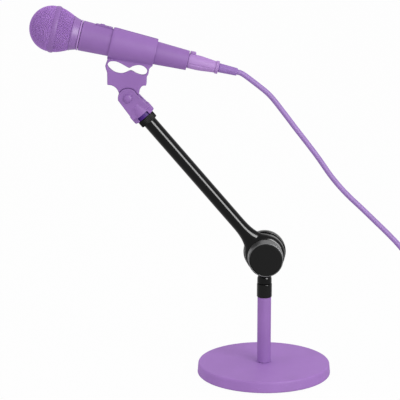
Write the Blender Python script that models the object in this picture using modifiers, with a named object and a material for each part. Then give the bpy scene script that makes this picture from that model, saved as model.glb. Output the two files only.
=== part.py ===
"""A vocal microphone in a shock-absorbing clip, on a short boom arm with a friction hinge and a desk base.

Metres, +Z up. The origin is the middle of the base's underside, on the table. The arm leans towards -X, the
hinge turns about Y, and the front of the hinge faces -Y.
"""

import math

import bmesh
import bpy
from mathutils import Vector

# Clearances, and the facets round a turned piece
FIT = 0.0003
RUN = 0.0005
ROUND_LARGE = 48
ROUND = 32
ROUND_SMALL = 20

# Base and pole
BASE_RADIUS = 0.0760
BASE_HEIGHT = 0.0137
BASE_DRAFT = 0.0010
BASE_EDGE = 0.0022
PAD_RADIUS = 0.0690
PAD_THICKNESS = 0.0020
PAD_PROUD = 0.0009
POLE_RADIUS = 0.0078
POLE_WALL = 0.0024
POLE_SPIGOT_RADIUS = 0.0058
POLE_THREAD_LENGTH = 0.0070
NUT_ACROSS_CORNERS = 0.0100
NUT_HEIGHT = 0.0050

# Socket between the pole and the hinge
SOCKET_RADIUS = 0.0086
SOCKET_LENGTH = 0.0158
SOCKET_WALL = 0.0020
SOCKET_EDGE = 0.0012

# Friction hinge, with depths measured from the pole's axis towards the front
HINGE_HEIGHT = 0.1430
HINGE_RISE = 0.0522
HUB_RADIUS = 0.0240
HUB_BACK = -0.0105
HUB_FRONT = -0.0010
HUB_EDGE = 0.0012
NECK_RADIUS = 0.0079
NECK_DOME = 0.0050
NECK_GAP = 0.0012
WEB_WIDTH = 0.01264
WASHER_RADIUS = 0.0205
WASHER_THICKNESS = 0.0010
HOUSING_RADIUS = 0.0225
HOUSING_DEPTH = 0.0156
HOUSING_ROUND = 0.0055
HINGE_BOLT_RADIUS = 0.0040
BOLT_HEAD_RADIUS = 0.0070
BOLT_HEAD_HEIGHT = 0.0044
SPRING_RADIUS = 0.0088
SPRING_THICKNESS = 0.0014
KNOB_RADIUS = 0.0200
KNOB_DRAFT = 0.0006
KNOB_DEPTH = 0.0195
KNOB_EDGE = 0.0010
KNOB_CAP_RADIUS = 0.0180
KNOB_CAP_THICKNESS = 0.0012
KNOB_INSERT_RADIUS = 0.0066
KNOB_INSERT_LENGTH = 0.0072

# Boom arm, with lengths measured from the hinge's axis along the arm
ARM_LEAN = math.radians(40.4)
ARM_REACH = 0.2065
ARM_RADIUS = 0.0076
ARM_WALL = 0.0018
ARM_BORE_START = 0.0600
FLARE_START = 0.0165
FLARE_END = 0.0500
FLARE_WIDTH = 0.0148
COLLAR_RADIUS = 0.0102
COLLAR_LENGTH = 0.0072
COLLAR_LIP = 0.0018
STUD_THREAD_RADIUS = 0.0076
STUD_LENGTH = 0.0130
STUD_SPIGOT_LENGTH = 0.0180

# Clip base, screwed on the stud, and its pivot
PIVOT_RISE = 0.0290
CLIP_FOOT_RADIUS = 0.0121
CLIP_KNUCKLE_RADIUS = 0.0110
CLIP_CHEEK_ANGLE = math.radians(27)
CLIP_FOOT_LENGTH = 0.0065
CLIP_SHOULDER_HALF_WIDTH = 0.0117
NOTCH_WIDTH = 0.0140
NOTCH_HEIGHT = 0.0035
CLIP_INSERT_WALL = 0.0014
CLIP_INSERT_LENGTH = 0.0120
CLEVIS_WIDTH = 0.0200
TONGUE_WIDTH = 0.0090
TONGUE_STEM = 0.0170
EAR_SPAN = 0.0264
EAR_LENGTH = 0.0110
EAR_WIDTH = 0.0070
PIVOT_BOLT_RADIUS = 0.0025
PIVOT_HEAD_RADIUS = 0.0046
PIVOT_HEAD_HEIGHT = 0.0026
PIVOT_NUT_RADIUS = 0.0048
PIVOT_NUT_HEIGHT = 0.0036

# Cradle of the clip, measured from the pivot: across is +X, rise is +Z
YOKE_DEPTH = 0.0180
YOKE_LEFT = -0.0225
YOKE_RIGHT = 0.0204
LEFT_SHOULDER_RISE = 0.0147
RIGHT_SHOULDER_RISE = 0.0140
LEFT_SWEEP_END = -0.0214
RIGHT_SWEEP_END = 0.0178
STEM_LEFT = -0.0098
STEM_RIGHT = 0.0123
STEM_RISE = 0.0036
LEFT_STRIP = (
    (-0.0225, 0.0285), (-0.0238, 0.0322), (-0.0246, 0.0358), (-0.0230, 0.0404), (-0.0214, 0.0424),
)
RIGHT_STRIP = ((0.0208, 0.0236), (0.0227, 0.0264), (0.0233, 0.0293), (0.0229, 0.0315), (0.0240, 0.0327))
SADDLE = ((0.0270, 0.0360), (-0.0227, 0.0444))
EYE = (
    (-0.0231, 0.0356), (-0.0212, 0.0399), (-0.0157, 0.0411), (-0.0095, 0.0401), (-0.0024, 0.0359),
    (0.0018, 0.0333), (0.0060, 0.0351), (0.0116, 0.0362), (0.0176, 0.0345), (0.0217, 0.0290),
    (0.0196, 0.0247), (0.0150, 0.0233), (0.0095, 0.0255), (0.0031, 0.0287), (-0.0035, 0.0262),
    (-0.0085, 0.0254), (-0.0152, 0.0273), (-0.0207, 0.0317),
)
CRADLE_FRONT = -0.0340
CRADLE_BACK = -0.0846
CRADLE_WALL = 0.0019
CRADLE_BACK_WALL = 0.0026
CRADLE_MOUTH = math.radians(16)

# Microphone, measured along its axis from the neck ring, with the ball at the positive end
MIC_TILT = math.radians(13.3)
MIC_RISE = 0.0548
NECK_BEHIND_PIVOT = -0.0662
HANDLE_NECK_RADIUS = 0.0167
HANDLE_WAIST_RADIUS = 0.0153
HANDLE_WAIST = -0.0360
HANDLE_TAIL_RADIUS = 0.0109
HANDLE_TAIL = -0.1210
HANDLE_WALL = 0.0022
HANDLE_EDGE = 0.0006
NECK_SPIGOT_RADIUS = 0.0128
NECK_SPIGOT_LENGTH = 0.0090
NECK_RING_RADIUS = 0.0170
NECK_RING_WIDTH = 0.0018
COLLAR_CONE_BACK_RADIUS = 0.0166
COLLAR_CONE_FRONT_RADIUS = 0.0192
COLLAR_CONE_END = 0.0100
BASKET_BULGE = 1.5
BALL_RADIUS = 0.0254
BALL_CENTRE = 0.0313
BAND_RADIUS = 0.0260
BAND_WIDTH = 0.0044
BAND_CENTRE = 0.0285
MESH_WALL = 0.0011
FOAM_WALL = 0.0040
CAPSULE_RADIUS = 0.0132
CAPSULE_LENGTH = 0.0210
CAPSULE_MOUNT_WALL = 0.0022
CAPSULE_MOUNT_HEIGHT = 0.0070
SWITCH_CENTRE = -0.0235
SWITCH_PLATE_LENGTH = 0.0190
SWITCH_PLATE_WIDTH = 0.0084
SWITCH_PLATE_PROUD = 0.0009
SWITCH_PLATE_THICKNESS = 0.0022
SWITCH_SLOT_LENGTH = 0.0098
SWITCH_SLOT_WIDTH = 0.0036
SWITCH_TRAVEL = 0.0040
SWITCH_GRIP_PROUD = 0.0011
SWITCH_BODY_HEIGHT = 0.0050
SWITCH_PLATE_EDGE = 0.0005
SWITCH_GRIP_EDGE = 0.0004

# Connector and strain relief, on the same axis
SOCKET_INSERT_RADIUS = 0.0082
SOCKET_INSERT_FRONT = -0.0985
SOCKET_INSERT_THICKNESS = 0.0045
PIN_RADIUS = 0.0012
PIN_CIRCLE = 0.0036
PIN_LENGTH = 0.0110
NOSE_RADIUS = 0.0076
SHELL_RADIUS = 0.0083
SHELL_STRAIGHT_END = -0.1340
SHELL_END_RADIUS = 0.0064
SHELL_END = -0.1522
SHELL_WALL = 0.0014
CONTACT_LENGTH = 0.0115
LATCH_LENGTH = 0.0066
LATCH_WIDTH = 0.0046
LATCH_PROUD = 0.0030
LATCH_DEPTH = 0.0032
LATCH_TRAVEL = 0.0011
LATCH_EDGE = 0.0006
CONNECTOR_RING_RADIUS = 0.0072
CONNECTOR_RING_LENGTH = 0.0034
BOOT_START_RADIUS = 0.0051
BOOT_END_RADIUS = 0.0042
BOOT_LENGTH = 0.0206

# Cable: the route's points are (X, Z) in the arm's plane
CABLE_RADIUS = 0.0030
CABLE_SPACING = 0.0150
CABLE_SPLIT = 6
CABLE_ROUTE = (
    (-0.0092, 0.3354), (0.0045, 0.3236), (0.0190, 0.3055), (0.0330, 0.2870),
    (0.0470, 0.2690), (0.0590, 0.2530), (0.0715, 0.2350), (0.0830, 0.2208),
    (0.0950, 0.2082), (0.1080, 0.1960), (0.1240, 0.1804), (0.1390, 0.1657),
    (0.1530, 0.1505), (0.1695, 0.1285), (0.1840, 0.0990), (0.1970, 0.0680), (0.2120, 0.0430),
)
COIL_X = 0.2400
COIL_LIFT = 0.0013
COIL_MEAN_RADIUS = 0.0330
COIL_PITCH = 0.0076
COIL_LAYER = 0.0070
COIL_LAYERS = 4
COIL_TURNS = 11.75
COIL_CLIMB = 0.5
COIL_POINTS_PER_TURN = 24
COIL_LEAD = 0.0060
TAIL_STRAIGHT = 0.0300
TAIL_RAMP = 0.0180
TIE_WIDTH = 0.0100
TIE_THICKNESS = 0.0009
TIE_ANGLE = math.radians(30)

# Jack plug on the far end of the cable
PLUG_BOOT_RADIUS = 0.0046
PLUG_BOOT_LENGTH = 0.0140
PLUG_SHELL_RADIUS = 0.0062
PLUG_SHELL_LENGTH = 0.0220
PLUG_PIN_RADIUS = 0.00317
PLUG_PIN_LENGTH = 0.0285
PLUG_TIP_RADIUS = 0.0013
PLUG_TIP_WIDE = 0.0029
PLUG_TIP_WAIST = 0.0023
PLUG_TIP_RISE = 0.0032
PLUG_WAIST_RISE = 0.0051
PLUG_RING_RISE = 0.0076

# Places worked out from the sizes above
POLE_TOP = HINGE_HEIGHT - HINGE_RISE
WASHER_BACK = HUB_FRONT + FIT
HOUSING_BACK = WASHER_BACK + WASHER_THICKNESS + FIT
HOUSING_FRONT = HOUSING_BACK + HOUSING_DEPTH
ARM_OFFSET = (HOUSING_BACK + HOUSING_FRONT) / 2
KNOB_BACK = HOUSING_FRONT + FIT
KNOB_FRONT = KNOB_BACK + KNOB_DEPTH
PIVOT_REACH = ARM_REACH + PIVOT_RISE
ARM_AXIS = Vector((-math.sin(ARM_LEAN), 0, math.cos(ARM_LEAN)))
HINGE = Vector((0, 0, HINGE_HEIGHT))
PIVOT = HINGE + PIVOT_REACH * ARM_AXIS + Vector((0, -ARM_OFFSET, 0))
MIC_FORWARD = Vector((-math.cos(MIC_TILT), 0, math.sin(MIC_TILT)))
MIC_UP = Vector((math.sin(MIC_TILT), 0, math.cos(MIC_TILT)))
MIC_NECK = MIC_RISE * MIC_UP - NECK_BEHIND_PIVOT * MIC_FORWARD
SOCKET_TOP = POLE_TOP + SOCKET_LENGTH
CABLE_START = SHELL_END - CONNECTOR_RING_LENGTH - BOOT_LENGTH - 3 * FIT

FRONT = (math.radians(90), 0, 0)


def srgb(red, green, blue):
    """A colour as read from 0 to 255, as Blender's linear values."""
    channels = [value / 255 for value in (red, green, blue)]
    return [c / 12.92 if c <= 0.04045 else ((c + 0.055) / 1.055) ** 2.4 for c in channels] + [1]


PALETTE = {
    "purple_paint": (srgb(155, 115, 183), 0.55, 0.0),
    "purple_plastic": (srgb(150, 110, 178), 0.50, 0.0),
    "lilac_metal": (srgb(188, 152, 214), 0.30, 0.4),
    "purple_rubber": (srgb(152, 114, 184), 0.70, 0.0),
    "black_gloss": (srgb(26, 26, 27), 0.18, 0.0),
    "black_satin": (srgb(30, 30, 31), 0.45, 0.0),
    "steel": (srgb(150, 150, 152), 0.30, 1.0),
    "brass": (srgb(190, 160, 90), 0.30, 1.0),
    "rubber": (srgb(32, 32, 33), 0.80, 0.0),
    "foam": (srgb(60, 50, 68), 0.95, 0.0),
}


def clear_scene():
    for obj in list(bpy.data.objects):
        bpy.data.objects.remove(obj)


def collection(name):
    made = bpy.data.collections.new(name)
    bpy.context.scene.collection.children.link(made)
    return made


def material(name):
    found = bpy.data.materials.get(name)
    if found:
        return found
    colour, roughness, metallic = PALETTE[name]
    made = bpy.data.materials.new(name)
    made.use_nodes = True
    shader = made.node_tree.nodes["Principled BSDF"]
    shader.inputs["Base Color"].default_value = colour
    shader.inputs["Roughness"].default_value = roughness
    shader.inputs["Metallic"].default_value = metallic
    return made


clear_scene()
PARTS = collection("desk_boom_microphone")
TOOLS = collection("cutters")


def empty(name, parent=None, location=(0, 0, 0), rotation=(0, 0, 0)):
    frame = bpy.data.objects.new(name, None)
    PARTS.objects.link(frame)
    frame.parent = parent
    frame.location = location
    frame.rotation_euler = rotation
    return frame


def place(name, data, finish=None, parent=None, location=(0, 0, 0), rotation=(0, 0, 0)):
    """An object of a part, or of a cutter where no finish is given."""
    obj = bpy.data.objects.new(name, data)
    (PARTS if finish else TOOLS).objects.link(obj)
    obj.parent = parent
    obj.location = location
    obj.rotation_euler = rotation
    if finish:
        data.materials.append(material(finish))
    else:
        obj.hide_render = True
        obj.display_type = "WIRE"
    return obj


def turned(name, outline, steps=ROUND_SMALL, **where):
    """A solid of revolution about its own Z. The outline of (radius, z) runs down the outer side."""
    mesh = bpy.data.meshes.new(name)
    count = len(outline)
    on_axis = outline[0][0] == 0 and outline[-1][0] == 0
    edges = [(i, (i + 1) % count) for i in range(count - 1 if on_axis else count)]
    mesh.from_pydata([(radius, 0, z) for radius, z in outline], edges, [])
    obj = place(name, mesh, **where)
    screw = obj.modifiers.new("turn", "SCREW")
    screw.steps = steps
    screw.render_steps = steps
    screw.use_merge_vertices = True
    screw.merge_threshold = 0.000001
    return obj


def rod(name, radius, low, high, steps=ROUND_SMALL, **where):
    return turned(name, [(0, high), (radius, high), (radius, low), (0, low)], steps, **where)


def tube(name, radius, bore, low, high, steps=ROUND_SMALL, **where):
    return turned(name, [(radius, high), (radius, low), (bore, low), (bore, high)], steps, **where)


def arc(centre_radius, centre_z, radius, start, end, steps):
    """Points of a round edge in a turned outline, with angles in degrees from the outward direction."""
    angles = [math.radians(start + (end - start) * i / steps) for i in range(steps + 1)]
    return [(centre_radius + radius * math.cos(a), centre_z + radius * math.sin(a)) for a in angles]


def block(name, size, bevel=0.0, **where):
    mesh = bpy.data.meshes.new(name)
    cage = bmesh.new()
    bmesh.ops.create_cube(cage, size=1)
    bmesh.ops.scale(cage, vec=size, verts=cage.verts)
    cage.to_mesh(mesh)
    cage.free()
    obj = place(name, mesh, **where)
    if bevel:
        edge = obj.modifiers.new("edge", "BEVEL")
        edge.width = bevel
        edge.segments = 2
    return obj


def mesh_of(name, source):
    """A curve's evaluated mesh with its caps welded to its sides. The curve is removed."""
    graph = bpy.context.evaluated_depsgraph_get()
    mesh = bpy.data.meshes.new_from_object(source.evaluated_get(graph))
    bpy.data.objects.remove(source)
    weld = bmesh.new()
    weld.from_mesh(mesh)
    bmesh.ops.remove_doubles(weld, verts=weld.verts, dist=0.000005)
    bmesh.ops.recalc_face_normals(weld, faces=weld.faces)
    weld.to_mesh(mesh)
    weld.free()
    mesh.name = name
    return mesh


def plate_mesh(name, outlines, thickness):
    """A flat outline in X and Z, with any inner outlines as holes, given its thickness along Y."""
    curve = bpy.data.curves.new(name, "CURVE")
    curve.dimensions = "2D"
    curve.fill_mode = "BOTH"
    curve.extrude = thickness / 2
    for outline in outlines:
        spline = curve.splines.new("POLY")
        spline.points.add(len(outline) - 1)
        for point, (x, z) in zip(spline.points, outline):
            point.co = (x, z, 0, 1)
        spline.use_cyclic_u = True
    guide = bpy.data.objects.new(name, curve)
    TOOLS.objects.link(guide)
    mesh = mesh_of(name, guide)
    turn = bmesh.new()
    turn.from_mesh(mesh)
    for vert in turn.verts:
        vert.co = (vert.co.x, -vert.co.z, vert.co.y)
    turn.to_mesh(mesh)
    turn.free()
    return mesh


def combine(obj, operation, *tools):
    for tool in tools:
        step = obj.modifiers.new(tool.name, "BOOLEAN")
        step.operation = operation
        step.object = tool
        step.solver = "EXACT"
    return obj


def cut(obj, *tools):
    return combine(obj, "DIFFERENCE", *tools)


def fuse(obj, *tools):
    return combine(obj, "UNION", *tools)


def lofted(name, rings, **where):
    """A skin over rings of as many points each, closed by a cap at each end."""
    mesh = bpy.data.meshes.new(name)
    count = len(rings[0])
    faces = [tuple(reversed(range(count)))]
    for row in range(len(rings) - 1):
        start = row * count
        for i in range(count):
            after = (i + 1) % count
            faces.append((start + i, start + after, start + count + after, start + count + i))
    faces.append(tuple(range((len(rings) - 1) * count, len(rings) * count)))
    mesh.from_pydata([point for ring in rings for point in ring], [], faces)
    return place(name, mesh, **where)


def hexagon(name, corner_radius, low, high, **where):
    return rod(name, corner_radius, low, high, 6, **where)


# Frames
ARM_FRAME = empty("arm_tilt_axis", None, HINGE, (0, -ARM_LEAN, 0))
KNOB_FRAME = empty("knob_axis", None, HINGE)
CLIP_FRAME = empty("clip_tilt_axis", None, PIVOT)
MIC_FRAME = empty("mic_axis", CLIP_FRAME, MIC_NECK, (0, MIC_TILT - math.radians(90), 0))


def base():
    recess = PAD_THICKNESS - PAD_PROUD
    bore = POLE_SPIGOT_RADIUS + FIT
    seat = NUT_ACROSS_CORNERS + RUN
    seat_top = PAD_PROUD + recess + NUT_HEIGHT + FIT
    top_radius = BASE_RADIUS - BASE_DRAFT
    edge = arc(top_radius - BASE_EDGE, BASE_HEIGHT - BASE_EDGE, BASE_EDGE, 90, 0, 4)
    outline = [(bore, BASE_HEIGHT)] + edge + [
        (BASE_RADIUS, PAD_PROUD + BASE_DRAFT),
        (BASE_RADIUS - BASE_DRAFT, PAD_PROUD),
        (PAD_RADIUS + FIT, PAD_PROUD),
        (PAD_RADIUS + FIT, PAD_PROUD + recess),
        (seat, PAD_PROUD + recess),
        (seat, seat_top),
        (bore, seat_top),
    ]
    turned("base_plate", outline, ROUND_LARGE, finish="purple_paint")
    rod("base_pad", PAD_RADIUS, 0, PAD_THICKNESS - FIT, ROUND_LARGE, finish="rubber")
    nut = hexagon("pole_nut", NUT_ACROSS_CORNERS, seat_top - NUT_HEIGHT, seat_top - FIT, finish="steel")
    cut(nut, rod("pole_nut_bore", bore, -BASE_HEIGHT, BASE_HEIGHT))
    foot = seat_top - NUT_HEIGHT + FIT
    shoulder = BASE_HEIGHT + FIT
    thread_radius = SOCKET_RADIUS - SOCKET_WALL - FIT
    turned(
        "pole",
        [
            (thread_radius, POLE_TOP + POLE_THREAD_LENGTH),
            (thread_radius, POLE_TOP),
            (POLE_RADIUS, POLE_TOP),
            (POLE_RADIUS, shoulder),
            (POLE_SPIGOT_RADIUS, shoulder),
            (POLE_SPIGOT_RADIUS, foot),
            (POLE_RADIUS - 2 * POLE_WALL, foot),
            (POLE_RADIUS - 2 * POLE_WALL, shoulder + POLE_WALL),
            (thread_radius - POLE_WALL, shoulder + 2 * POLE_WALL),
            (thread_radius - POLE_WALL, POLE_TOP + POLE_THREAD_LENGTH),
        ],
        finish="purple_paint",
    )


def socket():
    bore = SOCKET_RADIUS - SOCKET_WALL
    low = POLE_TOP + FIT
    outline = [(bore, SOCKET_TOP)]
    outline += arc(SOCKET_RADIUS - SOCKET_EDGE, SOCKET_TOP - SOCKET_EDGE, SOCKET_EDGE, 90, 0, 3)
    outline += arc(SOCKET_RADIUS - SOCKET_EDGE / 2, low + SOCKET_EDGE / 2, SOCKET_EDGE / 2, 0, -90, 2)
    turned("pole_socket", outline + [(bore, low)], finish="black_gloss")


def hinge_hub():
    """The fixed half of the hinge: a disc behind the arm, on a domed neck with a spigot in the socket."""
    spigot_low = POLE_TOP + POLE_THREAD_LENGTH + FIT
    spigot = SOCKET_RADIUS - SOCKET_WALL - FIT
    neck_low = SOCKET_TOP + FIT
    neck_top = HINGE_HEIGHT - HOUSING_RADIUS - NECK_GAP
    turn = [math.radians(a) for a in (90, 70, 50, 30, 12, 0)]
    dome_low = neck_top - NECK_DOME
    dome = [(NECK_RADIUS * math.cos(a), dome_low + NECK_DOME * math.sin(a)) for a in turn]
    dome[0] = (0, neck_top)
    outline = dome + [(NECK_RADIUS, neck_low), (spigot, neck_low), (spigot, spigot_low), (0, spigot_low)]
    hub = turned("hinge_hub", outline, finish="black_gloss")
    edge = HUB_EDGE
    disc = [(0, HUB_FRONT), (HUB_RADIUS - edge, HUB_FRONT), (HUB_RADIUS, HUB_FRONT - edge)]
    disc += [(HUB_RADIUS, HUB_BACK + edge), (HUB_RADIUS - edge, HUB_BACK), (0, HUB_BACK)]
    wheel = turned("hub_disc", disc, ROUND, location=HINGE, rotation=FRONT)
    depth = HUB_FRONT - HUB_BACK - 2 * edge
    web_low = neck_low + NECK_GAP
    web_high = HINGE_HEIGHT - HUB_RADIUS / 2
    web = block(
        "hub_web",
        (WEB_WIDTH, depth, web_high - web_low),
        location=(0, -(HUB_FRONT + HUB_BACK) / 2, (web_low + web_high) / 2),
    )
    bore = HINGE_BOLT_RADIUS + FIT
    seat = BOLT_HEAD_RADIUS + RUN
    seat_floor = HUB_BACK + BOLT_HEAD_HEIGHT
    stepped = [(0, -HUB_BACK), (bore, -HUB_BACK), (bore, seat_floor)]
    stepped += [(seat, seat_floor), (seat, 2 * HUB_BACK), (0, 2 * HUB_BACK)]
    hole = turned("hub_bore", stepped, location=HINGE, rotation=FRONT)
    fuse(hub, wheel, web)
    cut(hub, hole)


def hinge_fittings():
    about = {"location": HINGE, "rotation": FRONT}
    bore = HINGE_BOLT_RADIUS + FIT
    washer_front = WASHER_BACK + WASHER_THICKNESS
    tube("friction_washer", WASHER_RADIUS, bore, WASHER_BACK, washer_front, finish="rubber", **about)
    head_top = HUB_BACK + BOLT_HEAD_HEIGHT - FIT
    head_low = head_top - BOLT_HEAD_HEIGHT
    bolt = hexagon("hinge_bolt", BOLT_HEAD_RADIUS, head_low, head_top, finish="steel", **about)
    shank_top = KNOB_BACK + KNOB_INSERT_LENGTH
    fuse(bolt, rod("bolt_shank", HINGE_BOLT_RADIUS, head_top - FIT, shank_top, **about))
    spring_high = HOUSING_FRONT - FIT / 2
    spring_low = HOUSING_FRONT - SPRING_THICKNESS + FIT / 2
    tube("spring_washer", SPRING_RADIUS, bore, spring_low, spring_high, finish="steel", **about)


def knob():
    """The clutch knob on the front of the hinge, with its threaded insert and a plain press-in cap."""
    about = {"parent": KNOB_FRAME, "rotation": FRONT}
    face = KNOB_RADIUS - KNOB_DRAFT
    recess = KNOB_FRONT - KNOB_CAP_THICKNESS - FIT
    insert_top = KNOB_BACK + KNOB_INSERT_LENGTH + FIT
    insert_bore = KNOB_INSERT_RADIUS + FIT
    rim = arc(face - KNOB_EDGE, KNOB_FRONT - KNOB_EDGE, KNOB_EDGE, 90, 0, 3)
    outline = [(0, recess), (KNOB_CAP_RADIUS + FIT, recess), (KNOB_CAP_RADIUS + FIT, KNOB_FRONT)] + rim
    outline += [(KNOB_RADIUS, KNOB_BACK + KNOB_EDGE / 2), (KNOB_RADIUS - KNOB_EDGE / 2, KNOB_BACK)]
    outline += [(insert_bore, KNOB_BACK), (insert_bore, insert_top), (0, insert_top)]
    turned("clutch_knob", outline, ROUND, finish="black_satin", **about)
    cap = [(0, KNOB_FRONT), (KNOB_CAP_RADIUS - FIT, KNOB_FRONT), (KNOB_CAP_RADIUS, KNOB_FRONT - FIT)]
    cap += [(KNOB_CAP_RADIUS, recess + FIT), (0, recess + FIT)]
    turned("knob_cap", cap, ROUND, finish="black_satin", **about)
    bore = HINGE_BOLT_RADIUS + FIT
    tube("knob_insert", KNOB_INSERT_RADIUS, bore, KNOB_BACK, insert_top - FIT, finish="brass", **about)


def boom_arm():
    """The swinging half of the hinge and the arm's tube, in one casting that narrows from disc to tube."""
    low = HOUSING_BACK
    high = HOUSING_FRONT
    rounding = arc(HOUSING_RADIUS - HOUSING_ROUND, high - HOUSING_ROUND, HOUSING_ROUND, 90, 0, 4)
    outline = [(0, high)] + rounding
    outline += [(HOUSING_RADIUS, low + HUB_EDGE), (HOUSING_RADIUS - HUB_EDGE, low), (0, low)]
    arm = turned("boom_arm", outline, ROUND, finish="black_gloss", parent=ARM_FRAME, rotation=FRONT)
    offset = {"parent": ARM_FRAME, "location": (0, -ARM_OFFSET, 0)}
    half_depth = HOUSING_DEPTH / 2 - FIT
    rings = []
    stations = 7
    inner = ARM_RADIUS - FIT
    for i in range(stations):
        share = i / (stations - 1)
        reach = FLARE_START + (FLARE_END - FLARE_START) * share
        spread = (1 - share) ** 3
        width = inner + (FLARE_WIDTH - inner) * spread
        depth = inner + (half_depth - inner) * spread
        turn = [math.tau * k / 24 for k in range(24)]
        rings.append([(width * math.cos(a), depth * math.sin(a), reach) for a in turn])
    flare = lofted("arm_flare", rings, **offset)
    end = ARM_REACH - COLLAR_LIP - FIT
    shaft = rod("arm_tube", ARM_RADIUS, 2 * FLARE_START, end, **offset)
    bore = rod("arm_bore", ARM_RADIUS - ARM_WALL, ARM_BORE_START, 2 * ARM_REACH, **offset)
    about = {"parent": ARM_FRAME, "rotation": FRONT}
    hole = rod("arm_hinge_bore", HINGE_BOLT_RADIUS + FIT, -HOUSING_DEPTH, 2 * HOUSING_DEPTH, **about)
    seat = rod("arm_spring_seat", SPRING_RADIUS + FIT, high - SPRING_THICKNESS, 2 * HOUSING_DEPTH, **about)
    fuse(arm, flare, shaft)
    cut(arm, bore, hole, seat)


def arm_tip():
    offset = {"parent": ARM_FRAME, "location": (0, -ARM_OFFSET, 0)}
    low = ARM_REACH - COLLAR_LENGTH
    lip = ARM_REACH - COLLAR_LIP
    sleeve = ARM_RADIUS + FIT
    spigot = ARM_RADIUS - ARM_WALL - FIT
    edge = COLLAR_LIP / 3
    outline = [(spigot + FIT, ARM_REACH), (COLLAR_RADIUS - edge, ARM_REACH)]
    outline += [(COLLAR_RADIUS, ARM_REACH - edge), (COLLAR_RADIUS, low + edge)]
    outline += [(COLLAR_RADIUS - edge, low), (sleeve, low), (sleeve, lip)]
    turned("tip_collar", outline + [(spigot + FIT, lip)], finish="black_gloss", **offset)
    shoulder = ARM_REACH + FIT
    top = shoulder + STUD_LENGTH
    outline = [(0, top), (STUD_THREAD_RADIUS - edge, top), (STUD_THREAD_RADIUS, top - edge)]
    outline += [(STUD_THREAD_RADIUS, shoulder), (spigot, shoulder), (spigot, lip - STUD_SPIGOT_LENGTH)]
    turned("tip_stud", outline + [(0, lip - STUD_SPIGOT_LENGTH)], finish="steel", **offset)


def clip_base():
    """The screwed foot of the clip: a tapered body with a clevis and two thumb ears."""
    offset = {"parent": ARM_FRAME, "location": (0, -ARM_OFFSET, 0)}
    low = ARM_REACH + FIT
    foot_top = low + CLIP_FOOT_LENGTH
    insert_radius = STUD_THREAD_RADIUS + FIT + CLIP_INSERT_WALL
    knuckle = CLIP_KNUCKLE_RADIUS
    outline = [(0, PIVOT_REACH), (knuckle - 5 * FIT, PIVOT_REACH), (CLIP_FOOT_RADIUS - FIT, foot_top)]
    outline += [(CLIP_FOOT_RADIUS, low), (0, low)]
    body = turned("clip_base", outline, finish="purple_plastic", **offset)
    front = ARM_OFFSET + CLEVIS_WIDTH / 2
    back = ARM_OFFSET - CLEVIS_WIDTH / 2
    at_pivot = {"parent": ARM_FRAME, "rotation": FRONT, "location": (0, 0, PIVOT_REACH)}
    start = math.degrees(CLIP_CHEEK_ANGLE)
    cheek = ellipse((0, 0), (knuckle, knuckle), start, 180 - start, 12)
    half = CLIP_SHOULDER_HALF_WIDTH
    cheek += [(-half, foot_top - PIVOT_REACH), (half, foot_top - PIVOT_REACH)]
    cheeks = place(
        "clip_cheeks",
        plate_mesh("clip_cheeks", [cheek], CLEVIS_WIDTH),
        parent=ARM_FRAME,
        location=(0, -ARM_OFFSET, PIVOT_REACH),
    )
    notch = block(
        "clip_notch",
        (NOTCH_WIDTH, 4 * knuckle, 2 * NOTCH_HEIGHT),
        parent=ARM_FRAME,
        location=(0, -ARM_OFFSET, low),
    )
    ears = block(
        "clip_ears",
        (EAR_SPAN, EAR_WIDTH, EAR_LENGTH),
        EAR_WIDTH / 5,
        parent=ARM_FRAME,
        location=(0, -ARM_OFFSET, low + EAR_LENGTH / 2 + FIT),
    )
    slot_low = PIVOT_REACH - knuckle - 2 * RUN
    slot = block(
        "clip_slot",
        (4 * knuckle, TONGUE_WIDTH + 2 * RUN, 4 * knuckle),
        parent=ARM_FRAME,
        location=(0, -ARM_OFFSET, slot_low + 2 * knuckle),
    )
    bore = rod("clip_insert_bore", insert_radius + FIT, -low, low + CLIP_INSERT_LENGTH + 2 * FIT, **offset)
    hole = rod("clip_pivot_bore", PIVOT_BOLT_RADIUS + FIT, 2 * back, 2 * front, **at_pivot)
    top_bore = low + STUD_LENGTH + RUN
    relief = rod("clip_stud_relief", STUD_THREAD_RADIUS + FIT, -low, top_bore, **offset)
    fuse(body, cheeks, ears)
    cut(body, slot, notch, bore, relief, hole)
    insert_top = low + CLIP_INSERT_LENGTH
    tube("clip_insert", insert_radius, STUD_THREAD_RADIUS + FIT, low, insert_top, finish="brass", **offset)
    head_low = front + FIT
    head_high = head_low + PIVOT_HEAD_HEIGHT
    bolt = rod("pivot_bolt", PIVOT_HEAD_RADIUS, head_low, head_high, finish="steel", **at_pivot)
    tail = back - PIVOT_NUT_HEIGHT - 2 * FIT
    fuse(bolt, rod("pivot_shank", PIVOT_BOLT_RADIUS, tail, head_low + FIT, **at_pivot))
    nut_low = back - FIT - PIVOT_NUT_HEIGHT
    nut = hexagon("pivot_nut", PIVOT_NUT_RADIUS, nut_low, back - FIT, finish="steel", **at_pivot)
    cut(nut, rod("pivot_nut_bore", PIVOT_BOLT_RADIUS + FIT, 2 * tail, front, **at_pivot))


def ellipse(centre, size, start, end, steps):
    """Points of an ellipse in X and Z between two angles in degrees."""
    turn = [math.radians(start + (end - start) * i / steps) for i in range(steps + 1)]
    return [(centre[0] + size[0] * math.cos(a), centre[1] + size[1] * math.sin(a)) for a in turn]


def figure_eight():
    """The eye of the yoke: a closed Catmull-Rom curve through its drawn points, in X and Z."""
    points = [Vector(point) for point in EYE]
    steps = 3
    outline = []
    for i, here in enumerate(points):
        before, after, beyond = points[i - 1], points[(i + 1) % len(points)], points[(i + 2) % len(points)]
        for k in range(steps):
            t = k / steps
            curve = 2 * here + (after - before) * t
            curve += (2 * before - 5 * here + 4 * after - beyond) * t**2
            curve += (3 * here - before - 3 * after + beyond) * t**3
            outline.append(tuple(curve / 2))
    return outline


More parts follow.
